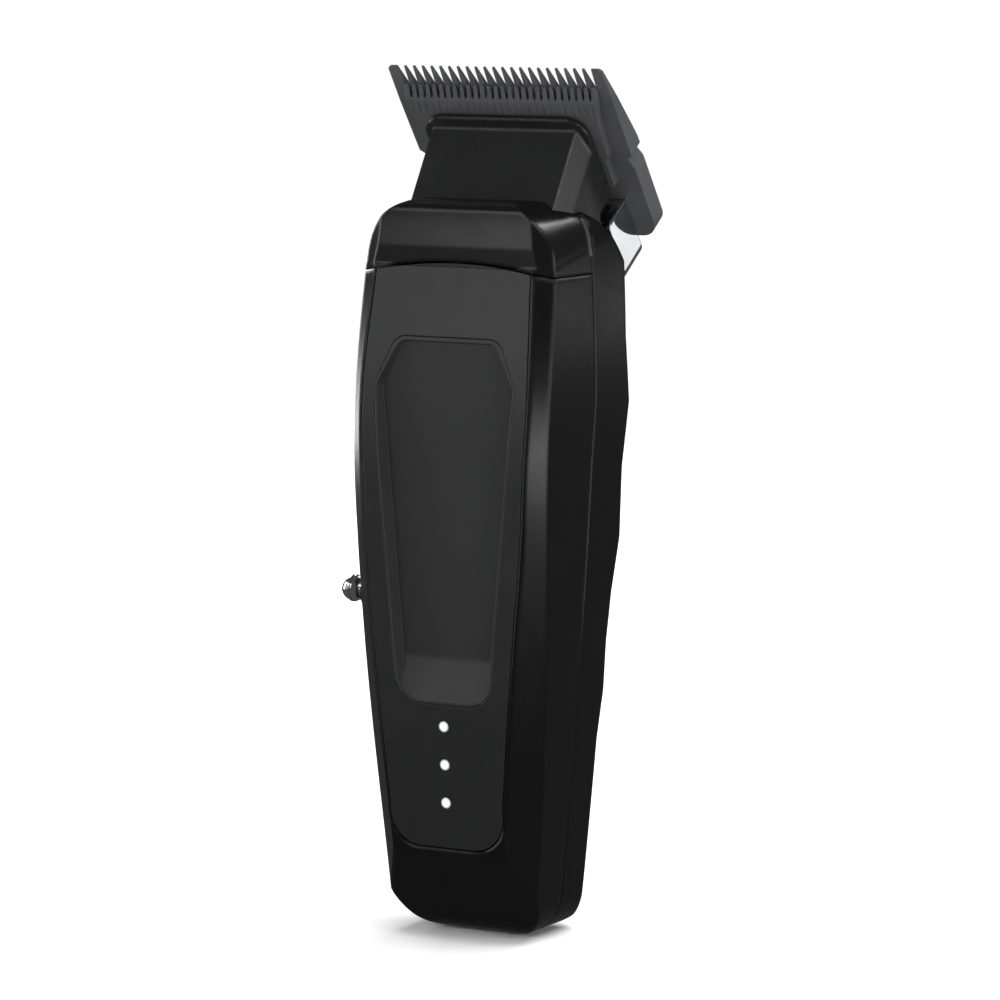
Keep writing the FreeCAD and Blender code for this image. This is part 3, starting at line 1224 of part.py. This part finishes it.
def shells(outer_form, inner_form):
    """Front cover, head cap and rear cover."""
    room = inner_form.cut(panel_backing(0))
    neck_hole = neck_form(0.15)
    neck_hole = neck_hole.common(block(-FAR, FAR, -FAR, FAR, HOUSING_TOP - 12, FAR * 4))
    shell = outer_form.cut(room).cut(neck_hole)
    clear_cap = above_cap_seam(-CAP_GAP / 2)
    front = shell.common(parting_prism(-SEAM_GAP / 2, True)).cut(clear_cap)
    rear = shell.common(parting_prism(SEAM_GAP / 2, False))
    cap = shell.common(parting_prism(-SEAM_GAP / 2, True)).common(above_cap_seam(CAP_GAP / 2))

    plate_bed = plate_prism(PLATE_GROOVE).cut(housing_form(PLATE + 0.05))
    panel_bed = along_y(panel_outline(PANEL_LIP), -FAR, 0).cut(panel_floor(PANEL_THICK + 0.05))
    lights = [rod(LIGHT_DIAMETER + 2 * FIT, V(0, -FAR, z), V(0, 0, z)) for z in LIGHT_HEIGHTS]
    front = front.cut(plate_bed).cut(panel_bed).cut(Part.makeCompound(lights))

    bosses_front, bosses_rear, screw_cuts = [], [], []
    for x, z in screw_places():
        seat = screw_seat(z)
        tube = rod(BOSS_DIAMETER, V(x, -40, z), V(x, seat, z))
        front_half = tube.common(housing_form(PLATE + 0.3)).common(parting_prism(-SEAM_GAP / 2, True))
        bosses_front.append(front_half.cut(panel_bed))
        bosses_rear.append(tube.common(outer_form).common(parting_prism(SEAM_GAP / 2, False)))
        screw_cuts.append(rod(SCREW_HEAD + 0.4, V(x, seat, z), V(x, FAR, z)))
        screw_cuts.append(rod(SCREW_DIAMETER + 0.02, V(x, seat - 11.5, z), V(x, seat + 1, z)))
    front = union([front] + bosses_front).cut(Part.makeCompound(screw_cuts))
    pads = [rod(SCREW_HEAD + 3.0, V(x, screw_seat(z) - 1.2, z), V(x, FAR, z)).common(outer_form)
            for x, z in screw_places()]
    rear = union([rear] + bosses_rear + pads + switch_posts()).cut(Part.makeCompound(screw_cuts))

    half, tall = PORT_WIDTH / 2 + FIT, PORT_HEIGHT / 2 + FIT
    port = along_z(rectangle(-half, half, PORT_Y - tall, PORT_Y + tall, tall - 0.1), -5, WALL + 3)
    pivot = lever_pivot_point()
    lever_boss = rod(LEVER_SHAFT + 6.0, V(lever_x()[2], pivot.y, pivot.z), V(lever_x()[1], pivot.y, pivot.z))
    lever_boss = lever_boss.common(parting_prism(SEAM_GAP / 2, False))
    lever_hole = rod(LEVER_SHAFT + 2 * RUNNING, V(-FAR, pivot.y, pivot.z), V(-10, pivot.y, pivot.z))
    rear = union([rear, lever_boss]).cut(bracket_room(0)).cut(Part.makeCompound([port, lever_hole]))
    for cut in switch_cuts():
        rear = rear.cut(cut)
    for slot in clip_slots(0.12):
        rear = rear.cut(slot)
        cap = cap.cut(slot)
    return front, cap, rear


def clip_slots(grow):
    """Places of the two spring clips that hold the cap, let into the side on the parting line."""
    low, high = HOUSING_TOP + CLIP_SPAN[0] - grow, HOUSING_TOP + CLIP_SPAN[1] + grow
    seam = between([(z, y) for z, y in PARTING], HOUSING_TOP - 8, 1)
    half = CLIP_THICK + grow
    return both_sides(block(half_width(HOUSING_TOP - 8) - WALL, FAR, seam - half, seam + half, low, high))


def cap_clips(outer_form, inner_form):
    return [slot.common(housing_form(0.15)).cut(inner_form) for slot in clip_slots(0.0)]


def face_plate(outer_form):
    skin = outer_form.common(plate_prism(0)).cut(housing_form(PLATE))
    skin = skin.cut(above_cap_seam(-CAP_GAP / 2 - 0.1))
    window = along_y(panel_outline(PANEL_LIP), -FAR, 0)
    lights = [rod(LIGHT_DIAMETER + 2 * FIT, V(0, -FAR, z), V(0, 0, z)) for z in LIGHT_HEIGHTS]
    return skin.cut(window).cut(Part.makeCompound(lights))


def panel_recess():
    """Coffin-shaped channel with drafted walls, cut down to the panel's floor."""
    wires = []
    for y in (-FRONT_REACH - 0.4, PANEL_FLOOR + 1.0):
        grow = -PANEL_RIM - PANEL_DRAFT * (y + FRONT_REACH)
        wires.append(outline(panel_outline(grow), lambda p: V(p.x, y, p.y)))
    return Part.makeLoft(wires, True, True).cut(panel_floor(0))


def thumb_panel(outer_form):
    """Tray let into the face: its rim lies flush with the plate."""
    tray = along_y(panel_outline(0), -FAR, 0).cut(panel_floor(PANEL_THICK))
    return tray.cut(panel_recess()).common(outer_form)


# ================================================================ build and write
def write(name, shapes):
    shapes = shapes if isinstance(shapes, list) else [shapes]
    solids = [solid for shape in shapes for solid in shape.Solids]
    volume = sum(solid.Volume for solid in solids)
    print(f"{name:22} {len(solids)} solids {volume:10.2f} mm3 valid {all(s.isValid() for s in solids)}")
    shape = solids[0] if len(solids) == 1 else Part.makeCompound(solids)
    shape.exportStep(f"parts/{name}.step")


os.makedirs("parts", exist_ok=True)
outer_form = housing_form()
inner_form = housing_form(WALL)
front_cover, head_cap, rear_cover = shells(outer_form, inner_form)

write("front_cover", front_cover)
write("head_cap", head_cap)
write("rear_cover", rear_cover)
write("cap_clips", cap_clips(outer_form, inner_form))
write("face_plate", face_plate(outer_form))
write("thumb_panel", thumb_panel(outer_form))
write("neck_cover", neck_cover())
write("head_frame", head_frame(inner_form))
write("fixed_blade", on_head(fixed_blade()))
write("blade_bracket", blade_bracket())
write("blade_screws", blade_screws())
write("guide_screws", guide_screws())
write("moving_blade", on_head(moving_blade()))
write("cam_follower", cam_follower())
write("follower_screws", yoke_screws())
write("blade_spring", blade_spring())
write("eccentric_cam", eccentric_cam())
write("motor_shaft", motor_shaft())
write("rotor_magnet", rotor_magnet())
write("motor_bearings", bearings())
write("motor_can", motor_can())
write("motor_stator", stator())
write("motor_coils", coils())
write("motor_screws", motor_screws())
write("lever_arm", lever_arm())
write("lever_knob", lever_knob())
write("lever_cam", lever_cam())
write("lever_screw", lever_screw())
write("lever_washer", lever_washer())
write("lever_spring_washer", lever_spring_washer())
write("battery_cell", battery_cell())
write("battery_cradle", battery_cradle(inner_form))
write("battery_tabs", battery_tabs())
write("main_board", main_board())
write("board_chips", board_chips())
write("led_chips", leds())
write("light_pipes", light_pipes(outer_form))
write("charge_port", charge_port())
write("charge_board", charge_board())
write("switch_knob", switch_knob())
write("switch_body", switch_body())
write("switch_board", switch_board())
write("housing_screws", housing_screws())
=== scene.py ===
import json
import math

import bpy
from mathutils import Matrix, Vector


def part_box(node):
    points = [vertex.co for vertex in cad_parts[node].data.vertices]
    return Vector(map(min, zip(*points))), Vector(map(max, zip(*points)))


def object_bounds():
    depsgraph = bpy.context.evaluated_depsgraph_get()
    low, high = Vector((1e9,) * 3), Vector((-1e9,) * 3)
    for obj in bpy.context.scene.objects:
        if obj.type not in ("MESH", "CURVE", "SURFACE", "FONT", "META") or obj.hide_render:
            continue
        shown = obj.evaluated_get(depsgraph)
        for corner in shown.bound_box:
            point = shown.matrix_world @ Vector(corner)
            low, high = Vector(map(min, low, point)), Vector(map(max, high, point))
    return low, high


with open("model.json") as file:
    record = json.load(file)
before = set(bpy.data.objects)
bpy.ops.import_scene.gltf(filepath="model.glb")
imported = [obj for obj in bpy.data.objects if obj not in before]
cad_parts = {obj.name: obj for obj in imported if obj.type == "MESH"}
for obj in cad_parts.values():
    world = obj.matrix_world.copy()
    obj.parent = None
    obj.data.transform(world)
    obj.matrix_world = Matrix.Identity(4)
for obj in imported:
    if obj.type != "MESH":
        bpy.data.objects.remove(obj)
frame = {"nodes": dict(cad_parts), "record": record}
cad_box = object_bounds()

MM = 0.001

# ---------------------------------------------------------------- photograph's viewing angle
AIM = Vector((1.8, 0.0, 80.0)) * MM
AZIMUTH, ELEVATION = math.radians(30.0), math.radians(7.0)
DISTANCE = 880.0 * MM
LENS, SENSOR = 172.4, 36.0

# ---------------------------------------------------------------- three lights in a column
LIGHTS_FROM = 26.0 * MM      # height of the lowest one
LIGHTS_PITCH = 7.1 * MM
GLOW_CORE, GLOW_RIM = 0.55 * MM, 0.92 * MM

# ---------------------------------------------------------------- slope of the blades
BLADE_TIP = Vector((0.0, 0.5, 159.1)) * MM
BLADE_LEAN = math.radians(36.0)
DOWN_BLADE = Vector((0.0, math.sin(BLADE_LEAN), -math.cos(BLADE_LEAN)))
GROUND_FROM, GROUND_TO = 1.0 * MM, 8.0 * MM    # below the tips, where the bare grinding fades

# ---------------------------------------------------------------- battery cell
CELL_END = 1.4 * MM          # bare steel above the sleeve
CELL_END_BLUR = 0.1 * MM

# ---------------------------------------------------------------- floor, sky and sun
FLOOR_HALF = 40.0
FLOOR_DROP = 0.05 * MM
FLOOR_TONES = (0.94, 0.95)
SKY_SEEN, SKY_LIGHT = 1.0, 0.085
SUN_POWER = 3.4
SUN_WIDTH = math.radians(60)
SUN_TILT = (math.radians(-12), math.radians(8), 0)

# Area lights: azimuth from the face towards the object's right in degrees, height and distance
# in metres, width and height of the box, power in watts, height that it is aimed at.
SOFT_BOXES = {
    "strip_right": (70, 0.055, 0.40, (0.19, 0.10), 0.44, 0.06),
    "side_card": (100, 0.18, 0.60, (0.35, 0.20), 0.70, 0.12),
    "high_right": (64, 0.62, 0.60, (0.30, 0.28), 1.7, 0.14),
    "low_card_right": (150, 0.086, 0.60, (0.13, 0.032), 0.0135, 0.086),
    "card_front": (-20, 0.20, 0.60, (0.24, 0.18), 0.22, 0.13),
    "fill_front": (-24, 0.62, 0.95, (0.5, 0.35), 1.9, 0.10),
    "strip_left": (-75, 0.20, 0.70, (0.18, 0.5), 1.5, 0.08),
    "back_left": (-128, 0.22, 0.75, (0.30, 0.45), 2.2, 0.09),
    "back_high": (176, 0.60, 0.70, (0.45, 0.25), 2.5, 0.09),
}

# Sockets of the Mix node that carry colours.
MIX_A, MIX_B, MIX_RESULT = 6, 7, 2


# ================================================================ colours
def grey(value, tint=0.0):
    """Grey, a little bluer where tint is above nought."""
    return (value * (1 - tint), value, value * (1 + tint), 1.0)


def toned(colour, factor, lift=0.0):
    """The colour made darker or paler."""
    return tuple(min(1.0, c * factor + lift) for c in colour[:3]) + (1.0,)


# ================================================================ node helpers
class Nodes:
    """A new material with short names for making and linking its nodes."""

    def __init__(self, name):
        self.material = bpy.data.materials.new(name)
        self.material.use_nodes = True
        self.tree = self.material.node_tree
        self.tree.nodes.clear()
        self.out = self.add("ShaderNodeOutputMaterial")
        self.shader = self.add("ShaderNodeBsdfPrincipled")
        self.link(self.shader.outputs["BSDF"], self.out.inputs["Surface"])
        self.place = self.add("ShaderNodeTexCoord").outputs["Object"]

    def add(self, kind, **settings):
        node = self.tree.nodes.new(kind)
        for key, value in settings.items():
            setattr(node, key, value)
        return node

    def link(self, start, end):
        self.tree.links.new(start, end)

    def feed(self, socket, value):
        """Links a socket to another, or sets it to a plain value."""
        if isinstance(value, bpy.types.NodeSocket):
            self.link(value, socket)
        else:
            socket.default_value = value

    def set(self, **values):
        """Feeds the shader's sockets, with _ for each space of their names."""
        for key, value in values.items():
            self.feed(self.shader.inputs[key.replace("_", " ")], value)

    def mapped(self, socket, value):
        """Object coordinates with one setting of the Mapping node changed."""
        node = self.add("ShaderNodeMapping")
        self.link(self.place, node.inputs["Vector"])
        node.inputs[socket].default_value = value
        return node.outputs["Vector"]

    def stretched(self, scale):
        """Object coordinates stretched by scale (x, y, z)."""
        return self.mapped("Scale", scale)

    def noise(self, scale, detail=3.0, rough=0.55, vector=None):
        node = self.add("ShaderNodeTexNoise")
        self.link(vector or self.place, node.inputs["Vector"])
        node.inputs["Scale"].default_value = scale
        node.inputs["Detail"].default_value = detail
        node.inputs["Roughness"].default_value = rough
        return node.outputs["Fac"]

    def spread(self, value, low, high, start=0.3, end=0.7):
        """value between start and end, moved to between low and high."""
        node = self.add("ShaderNodeMapRange", clamp=True)
        self.link(value, node.inputs["Value"])
        node.inputs["From Min"].default_value = start
        node.inputs["From Max"].default_value = end
        node.inputs["To Min"].default_value = low
        node.inputs["To Max"].default_value = high
        return node.outputs["Result"]

    def axis(self, letter):
        """One of the object coordinates."""
        node = self.add("ShaderNodeSeparateXYZ")
        self.link(self.place, node.inputs["Vector"])
        return node.outputs[letter]

    def maths(self, kind, a, b=0.0):
        node = self.add("ShaderNodeMath", operation=kind)
        self.feed(node.inputs[0], a)
        self.feed(node.inputs[1], b)
        return node.outputs[0]

    def mix(self, share, a, b):
        node = self.add("ShaderNodeMix", data_type="RGBA")
        self.feed(node.inputs["Factor"], share)
        self.feed(node.inputs[MIX_A], a)
        self.feed(node.inputs[MIX_B], b)
        return node.outputs[MIX_RESULT]

    def rounded(self, radius):
        """Normal with the sharp edges rounded, and a mask of those edges."""
        node = self.add("ShaderNodeBevel", samples=6)
        node.inputs["Radius"].default_value = radius
        flat = self.add("ShaderNodeNewGeometry").outputs["Normal"]
        dot = self.add("ShaderNodeVectorMath", operation="DOT_PRODUCT")
        self.link(node.outputs["Normal"], dot.inputs[0])
        self.link(flat, dot.inputs[1])
        edges = self.spread(dot.outputs["Value"], 1.0, 0.0, 0.80, 0.97)
        return node.outputs["Normal"], edges

    def bump(self, height, strength, distance, normal=None):
        node = self.add("ShaderNodeBump")
        node.inputs["Strength"].default_value = strength
        node.inputs["Distance"].default_value = distance
        self.link(height, node.inputs["Height"])
        if normal is not None:
            self.link(normal, node.inputs["Normal"])
        return node.outputs["Normal"]


# ================================================================ kinds of finish
def coated(name, colour, rough, spread, grain=2600.0, relief=0.02, edge=0.25, radius=0.3,
           specular=0.5, cloud=0.07):
    """Paint: fine grain, cloudy sheen, handling marks and lighter worn edges."""
    n = Nodes(name)
    normal, edges = n.rounded(radius * MM)
    fine = n.noise(grain, 2.0)
    broad = n.noise(46.0, 3.0, 0.6)
    smudge = n.noise(190.0, 4.0, 0.65)
    streak = n.noise(60.0, 5.0, 0.7, n.stretched((9.0, 9.0, 0.8)))
    patchy = n.spread(n.noise(420.0, 4.0, 0.7), 0.35, 1.0, 0.35, 0.62)
    worn = n.maths("MULTIPLY", edges, patchy)
    base = n.mix(n.spread(broad, 0.0, 1.0), toned(colour, 1.0 - cloud), toned(colour, 1.0 + cloud))
    base = n.mix(n.maths("MULTIPLY", worn, edge), base, toned(colour, 2.2, 0.012))
    roughness = n.maths("ADD", n.spread(smudge, rough - spread, rough + spread),
                        n.spread(streak, -0.3 * spread, 0.3 * spread))
    roughness = n.maths("ADD", roughness, n.maths("MULTIPLY", worn, -0.25 * rough))
    n.set(Base_Color=base, Roughness=roughness, Specular_IOR_Level=specular)
    n.set(Normal=n.bump(fine, relief, 0.05 * MM, normal))
    return n.material


def metal(name, colour, rough, spread=0.06, brush=(1.0, 1.0, 1.0), brushing=0.25, radius=0.2,
          edge=0.3):
    """Bare or plated metal with brushing along one direction, fine scratches and bright edges."""
    n = Nodes(name)
    normal, edges = n.rounded(radius * MM)
    lines = n.noise(900.0, 4.0, 0.7, n.stretched(brush))
    scratch = n.noise(700.0, 6.0, 0.75, n.stretched((1.0, 0.25, 2.4)))
    broad = n.noise(120.0, 3.0, 0.6)
    base = n.mix(n.spread(broad, 0.0, 1.0), toned(colour, 0.86), colour)
    base = n.mix(n.maths("MULTIPLY", edges, edge), base, toned(colour, 1.35, 0.03))
    roughness = n.maths("ADD", n.spread(lines, rough - spread, rough + spread),
                        n.spread(scratch, -0.25 * spread, 0.5 * spread, 0.55, 0.72))
    n.set(Base_Color=base, Metallic=1.0, Roughness=roughness)
    n.set(Normal=n.bump(lines, brushing, 0.01 * MM, normal))
    return n.material


def plastic(name, colour, rough, spread=0.06, grain=1800.0, relief=0.15, radius=0.25,
            subsurface=0.0, fleck=0.0):
    """Moulded plastic: spark-eroded grain, faint flow lines, paler at rubbed edges."""
    n = Nodes(name)
    normal, edges = n.rounded(radius * MM)
    fine = n.noise(grain, 3.0, 0.6)
    flow = n.noise(34.0, 4.0, 0.6, n.stretched((1.0, 1.0, 0.35)))
    pale = toned(colour, 1.3, 0.02)
    base = n.mix(n.spread(flow, 0.0, 1.0), toned(colour, 0.85), colour)
    base = n.mix(n.maths("MULTIPLY", edges, 0.35), base, pale)
    if fleck:
        base = n.mix(n.spread(n.noise(5200.0, 1.0), 0.0, fleck, 0.62, 0.7), base, pale)
    n.set(Base_Color=base, Roughness=n.spread(flow, rough - spread, rough + spread),
          Specular_IOR_Level=0.45, Subsurface_Weight=subsurface,
          Subsurface_Radius=(0.9 * MM, 0.8 * MM, 0.7 * MM))
    n.set(Normal=n.bump(fine, relief, 0.03 * MM, normal))
    return n.material


def ground_blade(name):
    """Dark coated blade steel, ground bare and bright towards the tips of its teeth."""
    n = Nodes(name)
    normal, edges = n.rounded(0.16 * MM)
    shift = n.add("ShaderNodeVectorMath", operation="SUBTRACT")
    n.link(n.place, shift.inputs[0])
    shift.inputs[1].default_value = BLADE_TIP
    along = n.add("ShaderNodeVectorMath", operation="DOT_PRODUCT")
    n.link(shift.outputs["Vector"], along.inputs[0])
    along.inputs[1].default_value = DOWN_BLADE
    tips = n.spread(along.outputs["Value"], 1.0, 0.0, GROUND_FROM, GROUND_TO)
    lines = n.noise(1500.0, 4.0, 0.7, n.stretched((2.2, 0.22, 0.22)))
    broad = n.noise(90.0, 3.0, 0.6)
    base = n.mix(n.spread(broad, 0.0, 1.0), (0.080, 0.081, 0.084, 1), (0.100, 0.101, 0.105, 1))
    ground = n.mix(n.spread(lines, 0.0, 1.0), (0.085, 0.086, 0.090, 1), (0.12, 0.12, 0.124, 1))
    base = n.mix(n.maths("MULTIPLY", tips, 0.85), base, ground)
    base = n.mix(n.maths("MULTIPLY", edges, 0.5), base, (0.16, 0.16, 0.165, 1))
    n.set(Base_Color=base, Metallic=0.45, Roughness=n.spread(lines, 0.30, 0.46))
    n.set(Normal=n.bump(lines, 0.16, 0.01 * MM, normal))
    return n.material


def circuit_board(name):
    """Green solder mask with copper tracks and vias showing through it."""
    n = Nodes(name)
    normal, edges = n.rounded(0.12 * MM)
    tracks = n.add("ShaderNodeTexBrick", offset=0.37, squash=0.6)
    n.link(n.mapped("Rotation", (math.radians(90), 0, 0)), tracks.inputs["Vector"])
    tracks.inputs["Scale"].default_value = 420.0
    tracks.inputs["Mortar Size"].default_value = 0.06
    tracks.inputs["Mortar Smooth"].default_value = 0.2
    vias = n.add("ShaderNodeTexVoronoi")
    n.link(n.place, vias.inputs["Vector"])
    vias.inputs["Scale"].default_value = 330.0
    hole = n.spread(vias.outputs["Distance"], 1.0, 0.0, 0.10, 0.16)
    base = n.mix(tracks.outputs["Fac"], (0.010, 0.060, 0.028, 1), (0.030, 0.135, 0.062, 1))
    base = n.mix(hole, base, (0.62, 0.50, 0.28, 1))
    base = n.mix(n.maths("MULTIPLY", edges, 0.6), base, (0.30, 0.28, 0.16, 1))
    n.set(Base_Color=base, Roughness=n.spread(n.noise(260.0), 0.24, 0.38), Coat_Weight=0.3)
    n.set(Normal=n.bump(tracks.outputs["Fac"], 0.25, 0.02 * MM, normal))
    return n.material


def windings(name):
    """Enamelled copper wire laid side by side, with painted shade between wires and painted
    highlight on them.
    """
    n = Nodes(name)
    wave = n.add("ShaderNodeTexWave", wave_type="BANDS", bands_direction="Z", wave_profile="SIN")
    n.link(n.place, wave.inputs["Vector"])
    wave.inputs["Scale"].default_value = 1300.0
    wave.inputs["Distortion"].default_value = 0.6
    # Painted shade: the colour darkens in the grooves between the wires. Painted highlight: it
    # pales on their crests.
    base = n.mix(wave.outputs["Fac"], (0.20, 0.055, 0.018, 1), (0.74, 0.29, 0.13, 1))
    n.set(Base_Color=base, Metallic=0.8, Roughness=n.spread(n.noise(800.0), 0.22, 0.36))
    n.set(Coat_Weight=0.6, Normal=n.bump(wave.outputs["Fac"], 0.8, 0.1 * MM))
    return n.material


def cell_wrap(name):
    """Shrunk sleeve of a battery cell, faintly wrinkled, with a bare steel upper end."""
    n = Nodes(name)
    normal, _ = n.rounded(0.3 * MM)
    sleeve_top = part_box("battery_cell")[1].z - CELL_END
    bare = n.spread(n.axis("Z"), 0.0, 1.0, sleeve_top - CELL_END_BLUR, sleeve_top + CELL_END_BLUR)
    wrinkle = n.noise(120.0, 4.0, 0.6, n.stretched((1.0, 1.0, 0.15)))
    base = n.mix(n.spread(wrinkle, 0.0, 1.0), (0.010, 0.085, 0.16, 1), (0.016, 0.12, 0.21, 1))
    base = n.mix(bare, base, (0.62, 0.62, 0.60, 1))
    n.set(Base_Color=base, Metallic=bare, Roughness=n.spread(wrinkle, 0.22, 0.36))
    n.set(Coat_Weight=0.25, Normal=n.bump(wrinkle, 0.25, 0.15 * MM, normal))
    return n.material


def lit_lens(name):
    """Milky light guide, brightest in the middle of each light."""
    n = Nodes(name)
    fine = n.noise(900.0, 3.0)
    above = n.maths("SUBTRACT", n.axis("Z"), LIGHTS_FROM)
    off = n.maths("PINGPONG", above, LIGHTS_PITCH / 2)
    squares = n.maths("ADD", n.maths("POWER", off, 2.0), n.maths("POWER", n.axis("X"), 2.0))
    glow = n.spread(n.maths("SQRT", squares), 1.0, 0.0, GLOW_CORE, GLOW_RIM)
    base = n.mix(n.spread(fine, 0.0, 1.0), (0.30, 0.305, 0.31, 1), (0.36, 0.365, 0.37, 1))
    n.set(Base_Color=base, Roughness=n.spread(fine, 0.18, 0.3), Subsurface_Weight=0.2)
    n.set(Emission_Color=n.mix(glow, (0.10, 0.10, 0.105, 1), (1.0, 1.0, 1.0, 1)))
    n.set(Emission_Strength=0.95, Normal=n.bump(fine, 0.05, 0.02 * MM))
    return n.material


# ================================================================ one finish for each slot
FINISHES = {
    "housing": coated("housing_satin_black", grey(0.0030, 0.02), 0.23, 0.02, relief=0.012,
                      radius=1.3, edge=0.05, specular=0.28, cloud=0.05),
    "cap": coated("cap_gloss_black", grey(0.0030, 0.02), 0.20, 0.02, relief=0.008, radius=0.9,
                  edge=0.05, cloud=0.05),
    "face": coated("face_satin_black", grey(0.0105, 0.02), 0.38, 0.04, relief=0.05, radius=0.22),
    "panel": coated("panel_matt_black", grey(0.0150, 0.015), 0.50, 0.03, grain=3400.0,
                    relief=0.12, radius=0.25),
    "neck": coated("neck_satin_black", grey(0.0100, 0.02), 0.30, 0.04, radius=1.0),
    "lever": coated("lever_satin_black", grey(0.0060, 0.02), 0.26, 0.03, radius=0.35, edge=0.4,
                    cloud=0.05),
    "blade": ground_blade("blade_dark_coated_steel"),
    "chrome": metal("chrome_plate", grey(0.80, 0.01), 0.07, 0.035, brushing=0.05, radius=0.3,
                    edge=0.2),
    "screw": metal("screw_blackened_steel", grey(0.17, 0.02), 0.32, 0.08, radius=0.12, edge=0.7),
    "steel": metal("spring_steel", grey(0.55, 0.01), 0.24, brush=(3.0, 0.3, 0.3), radius=0.08),
    "spring": metal("spring_wire", grey(0.46, 0.01), 0.22, 0.05, brush=(0.4, 2.0, 2.0),
                    radius=0.1),
    "frame": plastic("frame_filled_nylon", grey(0.030), 0.46, relief=0.2, fleck=0.25),
    "follower": plastic("follower_acetal", (0.58, 0.57, 0.53, 1), 0.34, relief=0.08,
                        subsurface=0.12),
    "cradle": plastic("cradle_nylon", (0.52, 0.51, 0.47, 1), 0.42, relief=0.12, subsurface=0.15),
    "chip": plastic("chip_epoxy", grey(0.020), 0.5, grain=3800.0, relief=0.3, radius=0.1),
    "switch": plastic("switch_rubbed_black", grey(0.012), 0.42, relief=0.25, radius=0.3),
    "motor": metal("motor_can_zinc_plate", grey(0.48, -0.01), 0.30, 0.07, brush=(0.25, 0.25, 3.0),
                   brushing=0.3, radius=0.3),
    "magnet": metal("magnet_nickel_plate", (0.52, 0.50, 0.46, 1), 0.2, 0.05),
    "nickel": metal("nickel_strip", (0.66, 0.63, 0.58, 1), 0.26, brush=(3.0, 0.4, 0.4),
                    radius=0.05),
    "copper": windings("enamelled_windings"),
    "cell": cell_wrap("cell_sleeve"),
    "board": circuit_board("board_solder_mask"),
    "led": plastic("led_phosphor", (0.80, 0.68, 0.22, 1), 0.35, relief=0.1, radius=0.1,
                   subsurface=0.2),
    "light": lit_lens("light_guide"),
}

for entry in frame["record"]["subparts"]:
    piece = frame["nodes"][entry["node"]]
    finish = FINISHES[entry["material_slot"]]
    if not piece.data.materials:
        piece.data.materials.append(finish)
    for index in range(len(piece.data.materials)):
        piece.data.materials[index] = finish


# ================================================================ stage, light and camera
def placed(name, data):
    """A new object in the scene."""
    thing = bpy.data.objects.new(name, data)
    bpy.context.scene.collection.objects.link(thing)
    return thing


def pale_floor():
    mesh = bpy.data.meshes.new("floor")
    level = cad_box[0].z - FLOOR_DROP
    corners = [(-1, -1), (1, -1), (1, 1), (-1, 1)]
    points = [(x * FLOOR_HALF, y * FLOOR_HALF, level) for x, y in corners]
    mesh.from_pydata(points, [], [(0, 1, 2, 3)])
    floor = placed("floor", mesh)
    floor.visible_glossy = False
    n = Nodes("floor_pale")
    low, high = FLOOR_TONES
    n.set(Base_Color=n.mix(n.spread(n.noise(3.0, 2.0), 0.0, 1.0), grey(low), grey(high)))
    n.set(Roughness=0.9, Specular_IOR_Level=0.1)
    mesh.materials.append(n.material)


def soft_box(name, azimuth, height, distance, size, power, aim_height):
    """Area light at an azimuth from the face towards the right, aimed at the object."""
    light = bpy.data.lights.new(name, "AREA")
    light.shape = "RECTANGLE"
    light.size, light.size_y = size
    light.energy = power
    lamp = placed(name, light)
    a = math.radians(azimuth)
    spot = Vector((math.sin(a) * distance, -math.cos(a) * distance, height))
    lamp.location = spot
    lamp.rotation_mode = "QUATERNION"
    lamp.rotation_quaternion = (spot - Vector((0, 0, aim_height))).to_track_quat("Z", "Y")


def wide_sun():
    """Very soft light from above, without a reflection of its own."""
    light = bpy.data.lights.new("overhead", "SUN")
    light.energy = SUN_POWER
    light.angle = SUN_WIDTH
    lamp = placed("overhead", light)
    lamp.rotation_euler = SUN_TILT
    lamp.visible_glossy = False


def sky():
    """White behind the object, dimmer as a light."""
    world = bpy.data.worlds.new("studio")
    bpy.context.scene.world = world
    world.use_nodes = True
    tree = world.node_tree
    tree.nodes.clear()
    out = tree.nodes.new("ShaderNodeOutputWorld")
    seen = tree.nodes.new("ShaderNodeBackground")
    lighting = tree.nodes.new("ShaderNodeBackground")
    seen.inputs["Color"].default_value = grey(SKY_SEEN)
    lighting.inputs["Color"].default_value = grey(SKY_LIGHT)
    path = tree.nodes.new("ShaderNodeLightPath")
    mix = tree.nodes.new("ShaderNodeMixShader")
    tree.links.new(path.outputs["Is Camera Ray"], mix.inputs["Fac"])
    tree.links.new(lighting.outputs[0], mix.inputs[1])
    tree.links.new(seen.outputs[0], mix.inputs[2])
    tree.links.new(mix.outputs[0], out.inputs["Surface"])


def photo_camera():
    """Camera at the photograph's viewing angle."""
    back = Vector((
        math.sin(AZIMUTH) * math.cos(ELEVATION),
        -math.cos(AZIMUTH) * math.cos(ELEVATION),
        math.sin(ELEVATION),
    ))
    camera = placed("camera", bpy.data.cameras.new("camera"))
    camera.data.sensor_width = SENSOR
    camera.data.lens = LENS
    camera.data.clip_start, camera.data.clip_end = 0.05, 100.0
    camera.location = AIM + back * DISTANCE
    camera.rotation_mode = "QUATERNION"
    camera.rotation_quaternion = (-back).to_track_quat("-Z", "Y")
    bpy.context.scene.camera = camera
    bpy.context.scene.view_settings.view_transform = "Standard"


pale_floor()
sky()
wide_sun()
for box_name, box_values in SOFT_BOXES.items():
    soft_box(box_name, *box_values)
photo_camera()
